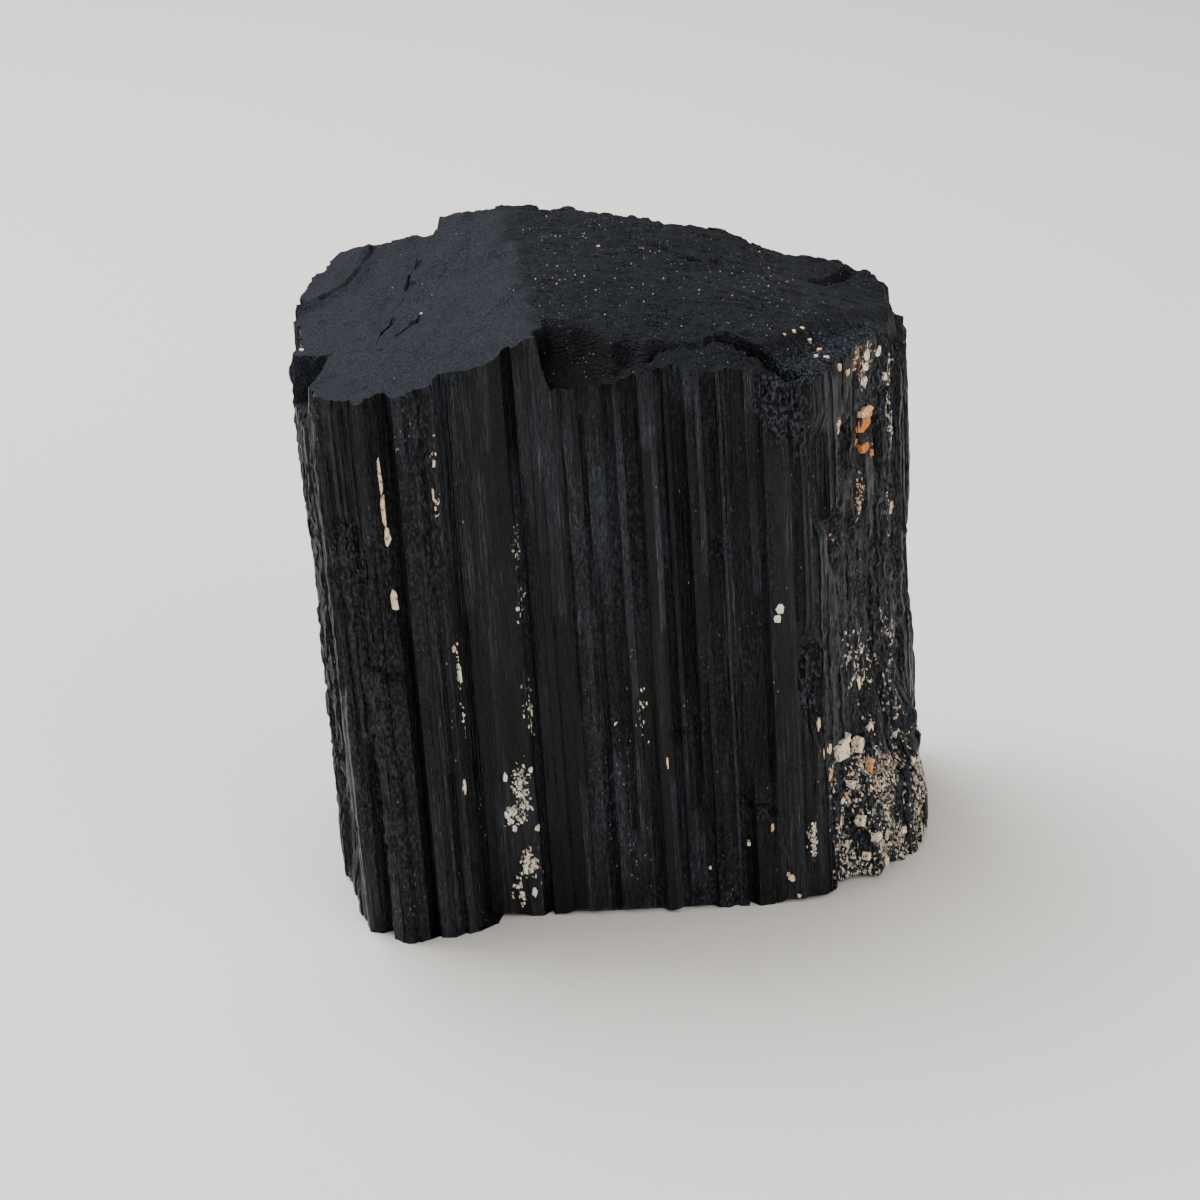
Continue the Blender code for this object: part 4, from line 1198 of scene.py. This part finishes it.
TOP_ROUGHNESS = (0.0, 1.0, 0.62, 0.50)
GRIT_BY_PLATEAU = (0.0, 1.0, 0.6, 1.6)
DENT_EDGE = (0.54, 0.66, 0.0, 0.5)
TONE_CLOUD = (0.3, 0.7, -0.12, 0.12)
TONE_WHITE = (-0.40, 0.0)
TONE_CREAM = (0.05, 0.40)
TONE_RUST = (0.40, 0.85)
DUST_EDGE = (0.56, 0.65, 0.0, 0.85)
GRAIN_ROUGHNESS = (0.3, 0.7, 0.45, 0.65)

# Height of the bumps in millimetres, and weights of the finer ones
SIDE_BUMP = 0.42
TOP_BUMP = 0.26
GRAIN_BUMP = 0.35
SCRATCH_BUMP = 0.30
SPAR_BUMP = 0.3
TOOTH_BUMP = 0.35

GLINT_SIZE = 0.26
ROUGH_GLINTS = 0.06         # how much more glints a rough place has
ROUGH_DULL = 0.16           # how much duller it is
SPAR_DULL = 0.62
# darkening of the break's slope, and painted shade of the cracks and the gap
BREAK_AND_CRACK_DARKENING = 0.92

# Colours of the stone and of what grows in it
STONE_IOR = 1.62
STONE_GLOSS = 0.13
TOP_GLOSS = 0.05
OLIVE_BLACK = (0.0022, 0.0026, 0.0032, 1.0)
# the two blues of the ribs: partly the stone's own streaks, partly painted highlights of the rib facets
BLUE_BLACK_AND_SHEEN = (0.0260, 0.0300, 0.0400, 1.0)
LINE_HIGHLIGHT_BLUE = (0.0700, 0.0790, 0.0980, 1.0)
CRUMB_BLUE = (0.0480, 0.0550, 0.0700, 1.0)
# near black: the darkest ribs, and painted shade in scratch grooves, plateau dents, cracks and the gap
# under the break
BLACK_AND_SHADE = (0.0006, 0.0007, 0.0009, 1.0)
LOBE_GREY = (0.0135, 0.0148, 0.0195, 1.0)
LOBE_PALE = (0.0270, 0.0295, 0.0375, 1.0)
LOBE_DARK = (0.0072, 0.0080, 0.0110, 1.0)
PLATEAU_GREY = (0.0110, 0.0122, 0.0160, 1.0)
PLATEAU_DARK = (0.0022, 0.0025, 0.0035, 1.0)
# pale flecks: partly mica, partly painted glints
MICA_AND_GLINT = (0.4200, 0.4300, 0.4400, 1.0)
WHITE_SPAR = (0.85, 0.79, 0.67, 1.0)
CREAM_SPAR = (0.82, 0.60, 0.37, 1.0)
GREY_SPAR = (0.3000, 0.2900, 0.2700, 1.0)
DUST = (0.0400, 0.0360, 0.0320, 1.0)
RUST = (0.5200, 0.1900, 0.0450, 1.0)
DARK_RUST = (0.1500, 0.0650, 0.0300, 1.0)


def spar_colour(tree, chance, stain):
    """White to cream, going to rust where it is stained."""
    clean = blend(tree, between(tree, chance, *SPAR_WHITE), GREY_SPAR, WHITE_SPAR)
    clean = blend(tree, between(tree, chance, *SPAR_CREAM), clean, CREAM_SPAR)
    rusty = blend(tree, chance, DARK_RUST, RUST)
    stained = times(tree, stain, between(tree, noise(tree, *RUST_COLUMNS), *STAIN_BY_COLUMN))
    return blend(tree, times(tree, stained, between(tree, chance, *STAIN_BY_CHANCE)), clean, rusty)


def flecks(tree, scale, crowding, size):
    """Mask of small bright flecks, which crowd where the second value is high."""
    distance, chance, _ = cells(tree, scale)
    small = math(tree, "LESS_THAN", distance, size)
    return times(tree, small, math(tree, "LESS_THAN", chance, crowding))


def rib_colour(tree, patch, fine):
    """Black ribs, some of them blue-grey, with brighter upright lines and black scratches: the blue-grey
    and the bright lines are partly the stone's own streaks and partly painted highlights of the rib facets,
    and the black of the scratches is painted shade in their grooves.
    """
    shade = attribute(tree, "shade")
    streaks = times(tree, noise(tree, *STREAKS), STREAK_SHARE)
    lightness = plus(tree, streaks, times(tree, patch, PATCH_SHARE))
    lightness = plus(tree, lightness, times(tree, shade, SHADE_SHARE))
    # blue-grey ribs: partly the stone's own streaks, partly painted highlights
    colour = blend(tree, between(tree, lightness, *RIB_BLUE), OLIVE_BLACK, BLUE_BLACK_AND_SHEEN)
    colour = blend(tree, between(tree, shade, *RIB_SOOT), colour, BLACK_AND_SHADE)
    lines = between(tree, noise(tree, *LINES), *LINE_EDGE)
    lines = times(tree, lines, between(tree, patch, *LINE_BY_PATCH))
    lines = times(tree, lines, between(tree, shade, *LINE_BY_SHADE))
    # bright upright lines: partly painted highlights on the rib facets
    colour = blend(tree, lines, colour, LINE_HIGHLIGHT_BLUE)
    # painted shade in the grooves where the scratch bump sinks
    return blend(tree, between(tree, fine, *SCRATCH_GROOVE_SHADE), colour, BLACK_AND_SHADE)


def side_glints(tree, rough, calm):
    """Mask of the pale flecks, partly mica and partly painted glints, which gather in clusters and keep off
    the smooth flats.
    """
    cluster = noise(tree, *CLUSTERS)
    crowding = plus(tree, between(tree, cluster, *GLINT_CROWD), times(tree, rough, ROUGH_GLINTS))
    crowding = times(tree, crowding, between(tree, calm, *GLINT_BY_CALM))
    glints = flecks(tree, SIDE_GLINTS, crowding, GLINT_SIZE)
    return times(tree, glints, between(tree, cluster, *GLINT_BY_CLUSTER))


def side_material():
    """Satin black ribs with blue-grey streaks and bright lines that are partly painted highlights, pale
    flecks that are partly painted glints, and grains of feldspar.
    """
    material, tree, shader = new_material("tourmaline_side")
    rough = attribute(tree, "rough")
    calm = attribute(tree, "calm")
    fine = noise(tree, *SCRATCHES)
    crumb = noise(tree, *CRUMBS)
    colour = rib_colour(tree, noise(tree, *PATCHES), fine)
    # pale flecks on the sides: partly mica, partly painted glints
    colour = blend(tree, side_glints(tree, rough, calm), colour, MICA_AND_GLINT)
    colour = blend(tree, times(tree, between(tree, crumb, *CRUMB_EDGE), rough), colour, CRUMB_BLUE)

    _, chance, other = cells(tree, SPAR_CELLS)
    edge = times(tree, chance, between(tree, noise(tree, *SPAR_EDGE), *SPAR_RAGGED))
    spar = math(tree, "LESS_THAN", edge, attribute(tree, "cover"))
    colour = blend(tree, spar, colour, spar_colour(tree, other, attribute(tree, "stain")))

    sheen = between(tree, noise(tree, *SHEEN), *SHEEN_ROUGHNESS)
    roughness = plus(tree, sheen, times(tree, rough, ROUGH_DULL))
    roughness = math(tree, "MAXIMUM", roughness, times(tree, spar, SPAR_DULL))

    threads = times(tree, noise(tree, *THREADS), between(tree, calm, *THREAD_BY_CALM))
    crumbs = times(tree, crumb, between(tree, rough, *CRUMB_BY_ROUGH))
    height = plus(tree, plus(tree, threads, crumbs), times(tree, spar, SPAR_BUMP))
    height = plus(tree, height, times(tree, fine, SCRATCH_BUMP))
    finish(tree, shader, colour, roughness, bump(tree, height, SIDE_BUMP), STONE_GLOSS)
    return material


def lobe_colour(tree, soft, grain):
    """Dull blue-grey with darker clouds and both dark and pale grain."""
    lobe = blend(tree, between(tree, soft, *LOBE_CLOUD), LOBE_GREY, LOBE_DARK)
    lobe = blend(tree, between(tree, grain, *LOBE_DARK_GRAIN), lobe, PLATEAU_DARK)
    return blend(tree, between(tree, grain, *LOBE_PALE_GRAIN), lobe, LOBE_PALE)


def plateau_colour(tree, dashes, grain):
    """Nearly black grain, with painted shade in the short dashed dents of the bump."""
    plain = blend(tree, between(tree, grain, *PLATEAU_GRAIN), PLATEAU_DARK, PLATEAU_GREY)
    # painted shade in the plateau's dents
    return blend(tree, between(tree, dashes, *PLATEAU_DENT_SHADE), plain, BLACK_AND_SHADE)


def top_material():
    """Dull blue-grey on the smooth lobe, darker and full of glinting grains on the plateau."""
    material, tree, shader = new_material("tourmaline_top")
    plateau = attribute(tree, "plateau")
    soft = noise(tree, *TOP_CLOUDS)
    grain = noise(tree, *TOP_GRIT)
    dashes = noise(tree, *TOP_DASHES)
    colour = blend(tree, plateau, lobe_colour(tree, soft, grain), plateau_colour(tree, dashes, grain))
    # darker on the slope of the front break, and painted shade in the cracks and in the gap under its cliff
    colour = blend(tree, times(tree, attribute(tree, "break_slope_and_crack_shade"), BREAK_AND_CRACK_DARKENING), colour, BLACK_AND_SHADE)
    crumbs = times(tree, between(tree, grain, *TOP_CRUMB), attribute(tree, "rough"))
    colour = blend(tree, crumbs, colour, CRUMB_BLUE)
    # pale flecks on the plateau: partly mica, partly painted glints
    crowding = between(tree, plateau, *TOP_GLINT_BY_PLATEAU)
    crowding = times(tree, crowding, between(tree, soft, *TOP_GLINT_BY_CLOUD))
    glints = flecks(tree, TOP_GLINTS, crowding, between(tree, grain, *TOP_GLINT_SIZE))
    glints = times(tree, glints, between(tree, dashes, *TOP_GLINT_BY_DASH))
    colour = blend(tree, glints, colour, MICA_AND_GLINT)

    roughness = between(tree, plateau, *TOP_ROUGHNESS)
    height = times(tree, grain, between(tree, plateau, *GRIT_BY_PLATEAU))
    dents = times(tree, between(tree, dashes, *DENT_EDGE), plateau)
    height = math(tree, "SUBTRACT", height, dents)
    height = plus(tree, height, times(tree, noise(tree, *TOP_TOOTH), TOOTH_BUMP))
    finish(tree, shader, colour, roughness, bump(tree, height, TOP_BUMP), TOP_GLOSS)
    return material


def grain_material():
    """Feldspar from white over cream to orange, with dark dust on it."""
    material, tree, shader = new_material("feldspar_grain")
    cloud = noise(tree, *GRAIN_CLOUDS)
    shade = plus(tree, attribute(tree, "tone"), between(tree, cloud, *TONE_CLOUD))
    colour = blend(tree, between(tree, shade, *TONE_WHITE), GREY_SPAR, WHITE_SPAR)
    colour = blend(tree, between(tree, shade, *TONE_CREAM), colour, CREAM_SPAR)
    colour = blend(tree, between(tree, shade, *TONE_RUST), colour, RUST)
    dust = noise(tree, *GRAIN_DUST)
    colour = blend(tree, between(tree, dust, *DUST_EDGE), colour, DUST)
    roughness = between(tree, cloud, *GRAIN_ROUGHNESS)
    finish(tree, shader, colour, roughness, bump(tree, dust, GRAIN_BUMP), STONE_GLOSS)
    return material


def dress_stone():
    mesh = make_stone()
    mesh.materials.append(side_material())
    mesh.materials.append(top_material())
    stone = place_object("black_tourmaline_block", mesh)
    mesh.shade_smooth()
    mesh.set_sharp_from_angle(angle=np.radians(SHARP_DEGREES))
    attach(stone, BODY)
    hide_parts(NODE)


def fine_at(arc):
    """Fine rib at a place of the outline, and the place across that rib."""
    first = FINE_RIBS[0, 0]
    wrapped = first + np.mod(arc - first, GIRTH)
    fine = np.clip(np.searchsorted(FINE_RIBS[:, 0], wrapped, side="right") - 1, 0, len(FINE_RIBS) - 1)
    start, stop = FINE_RIBS[fine, 0], FINE_RIBS[fine, 1]
    return wrapped, fine, np.clip((wrapped - start) / (stop - start) * 2.0 - 1.0, -1.0, 1.0)


def side_seat(arc, height):
    """Middle of a place on the side in space, and the directions along, up and out of the stone."""
    wrapped, fine, across = fine_at(np.array([arc]))
    out = outward(wrapped)[0]
    place = outline_point(wrapped)[0] + out * fine_relief(wrapped, fine, across, np.array([height]))[0]
    middle = np.array([place[0] - LEAN * height, place[1], height])
    return middle, np.array([-out[1], out[0], 0.0]), np.array([-LEAN, 0.0, 1.0]), np.array([*out, 0.0])


def top_seat(x, y):
    height = float(finished_top(np.array([x]), np.array([y]))[0])
    middle = np.array([x - LEAN * height, y, height])
    return middle, np.array([1.0, 0.0, 0.0]), np.array([0.0, 1.0, 0.0]), np.array([0.0, 0.0, 1.0])


def grain_points(seat, width, tall, chance):
    """Corners of one angular grain: a sunken ring, a smaller raised ring and a raised middle."""
    middle, along, up, out = seat
    rise = chance.uniform(*GRAIN_RISE) * min(1.0, GRAIN_LEAST + width)
    uneven = chance.uniform(-GRAIN_TURN, GRAIN_TURN, GRAIN_CORNERS)
    turn = (np.arange(GRAIN_CORNERS) + uneven) * 2.0 * np.pi / GRAIN_CORNERS
    reach = chance.uniform(*GRAIN_REACH, GRAIN_CORNERS)
    side = np.sign(np.cos(turn)) * np.abs(np.cos(turn)) ** GRAIN_SQUARE * reach * width / 2
    lift = np.sign(np.sin(turn)) * np.abs(np.sin(turn)) ** GRAIN_SQUARE * reach * tall / 2
    ring = side[:, None] * along + lift[:, None] * up
    heights = rise * chance.uniform(*GRAIN_HEIGHTS, GRAIN_CORNERS)
    sunken = middle + ring * GRAIN_FOOT - out * GRAIN_SINK
    raised = middle + ring * GRAIN_SHOULDER + heights[:, None] * out
    return np.vstack([sunken, raised, [middle + rise * GRAIN_PEAK * out]])


def grain_faces(first):
    """Triangles and quads of one grain whose points begin at the given number."""
    faces = [tuple(first + corner for corner in reversed(range(GRAIN_CORNERS)))]
    for corner in range(GRAIN_CORNERS):
        after = (corner + 1) % GRAIN_CORNERS
        raised, raised_after = first + GRAIN_CORNERS + corner, first + GRAIN_CORNERS + after
        faces.append((first + corner, first + after, raised_after, raised))
        faces.append((raised, raised_after, first + 2 * GRAIN_CORNERS))
    return faces


def loose_grains(chance):
    """Seat, width, height and tone of small grains scattered over the feldspar places."""
    found = []
    for _ in range(LOOSE_GRAINS):
        place = FELDSPAR_PLACES[chance.integers(len(FELDSPAR_PLACES))]
        x, y, middle, half_width, half_height, _, rust = place
        arc = arc_near(x, y) + chance.uniform(-1.0, 1.0) * half_width
        height = middle + chance.uniform(-1.0, 1.0) * half_height
        cover, _ = feldspar_cover(np.array([arc]), np.array([height]))
        width, tall = chance.uniform(*LOOSE_SIZES, 2)
        tone = LOOSE_TONE * chance.uniform() + LOOSE_RUST * rust * chance.uniform(*LOOSE_RUST_SHARE)
        if LOOSE_HEIGHTS[0] < height < LOOSE_HEIGHTS[1] and cover[0] > chance.uniform(*LOOSE_COVER):
            found.append((side_seat(arc, height), width, tall, tone))
    return found


def top_specks(chance):
    """Seat, width, depth and tone of the bright specks that are strewn over the plateau, partly grains and
    partly painted glints.
    """
    found = []
    for _ in range(TOP_SPECKS):
        x, y = chance.uniform(*SPECK_X), chance.uniform(*SPECK_Y)
        width, deep = chance.uniform(*SPECK_SIZES, 2)
        tone = chance.uniform(*SPECK_TONES)
        place = np.array([x]), np.array([y])
        crowd = waves(*place, SPECK_PATCHES)[0] + plateau_mask(*place)[0]
        if crowd > chance.uniform(*SPECK_CROWD):
            found.append((top_seat(x, y), width, deep, tone))
    return found


def dress_grains():
    """Joins all single grains of feldspar, and the plateau's specks that are partly painted glints, into
    one piece.
    """
    chance = np.random.default_rng(GRAIN_SEED)
    grains = [(side_seat(arc_at_x(x), height), *size_and_tone) for x, height, *size_and_tone in SIDE_GRAINS]
    grains += [(top_seat(x, y), *size_and_tone) for x, y, *size_and_tone in TOP_GRAINS]
    grains += loose_grains(chance)
    grains += top_specks(chance)
    points, faces, tones = [], [], []
    for seat, width, tall, tone in grains:
        faces += grain_faces(len(points))
        corners = grain_points(seat, width, tall, chance)
        points += list(corners)
        tones += [tone] * len(corners)

    places = np.array(points)
    mesh = make_mesh("feldspar_grains", places, faces)
    point_values(mesh, "place", places)
    point_values(mesh, "tone", tones)
    mesh.materials.append(grain_material())
    piece = place_object("feldspar_grains", mesh)
    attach(piece, BODY)


# The studio, in metres: the floor's half width, and each light's place, aim, size, power and colour
FLOOR_REACH = 3.0
FLOOR_COLOUR = (0.76, 0.710, 0.645, 1.0)
FLOOR_ROUGHNESS = 0.7
LIGHTS = {
    "sky_panel": ((-0.30, 0.22, 0.75), (0.0, 0.0, 0.04), 0.7, 15.0, (0.93, 0.96, 1.0)),
    "front_panel": ((0.40, -0.60, 0.50), (0.0, 0.0, 0.04), 0.4, 2.1, (1.0, 0.98, 0.95)),
    "right_panel": ((0.55, -0.22, 0.28), (0.03, 0.0, 0.03), 0.4, 1.3, (1.0, 0.97, 0.92)),
}
ROOM_COLOUR = (0.86, 0.88, 0.92, 1.0)
ROOM_STRENGTH = 0.50


def make_floor():
    """A plain pale floor, level with the stone's foot."""
    mesh = bpy.data.meshes.new("floor")
    corners = [(-1.0, -1.0), (1.0, -1.0), (1.0, 1.0), (-1.0, 1.0)]
    mesh.from_pydata([(x * FLOOR_REACH, y * FLOOR_REACH, 0.0) for x, y in corners], [], [(0, 1, 2, 3)])
    material, _, shader = new_material("pale_floor")
    shader.inputs["Base Color"].default_value = FLOOR_COLOUR
    shader.inputs["Roughness"].default_value = FLOOR_ROUGHNESS
    mesh.materials.append(material)
    floor = place_object("floor", mesh)


def area_light(name, place, aim, size, power, colour):
    data = bpy.data.lights.new(name, "AREA")
    data.size = size
    data.energy = power
    data.color = colour
    light = place_object(name, data)
    light.location = place
    light.rotation_euler = (Vector(aim) - Vector(place)).to_track_quat("-Z", "Y").to_euler()


def light_studio():
    """Soft light from above, from the front and the right, and a pale room all round."""
    for name, settings in LIGHTS.items():
        area_light(name, *settings)
    world = bpy.data.worlds.new("pale_room")
    bpy.context.scene.world = world
    world.use_nodes = True
    background = world.node_tree.nodes["Background"]
    background.inputs["Color"].default_value = ROOM_COLOUR
    background.inputs["Strength"].default_value = ROOM_STRENGTH


# The photograph's viewing angle: lens on a 36 mm frame, distance and aim in millimetres
LENS = 87.0
CAMERA_DOWN = 24.0
CAMERA_AWAY = 349.4
AIM_HEIGHT = 34.0
SENSOR_WIDTH = 36.0
NEAREST_SEEN = 0.01


def place_camera():
    down = np.radians(CAMERA_DOWN)
    aim = Vector((-CENTRE[0], -CENTRE[1], AIM_HEIGHT))
    data = bpy.data.cameras.new("camera")
    data.sensor_width = SENSOR_WIDTH
    data.lens = LENS
    data.clip_start = NEAREST_SEEN
    camera = place_object("camera", data)
    camera.location = (aim + Vector((0.0, -np.cos(down), np.sin(down))) * CAMERA_AWAY) * MM
    camera.rotation_euler = (np.pi / 2 - down, 0.0, 0.0)
    bpy.context.scene.camera = camera


place_camera()
dress_stone()
dress_grains()
make_floor()
light_studio()
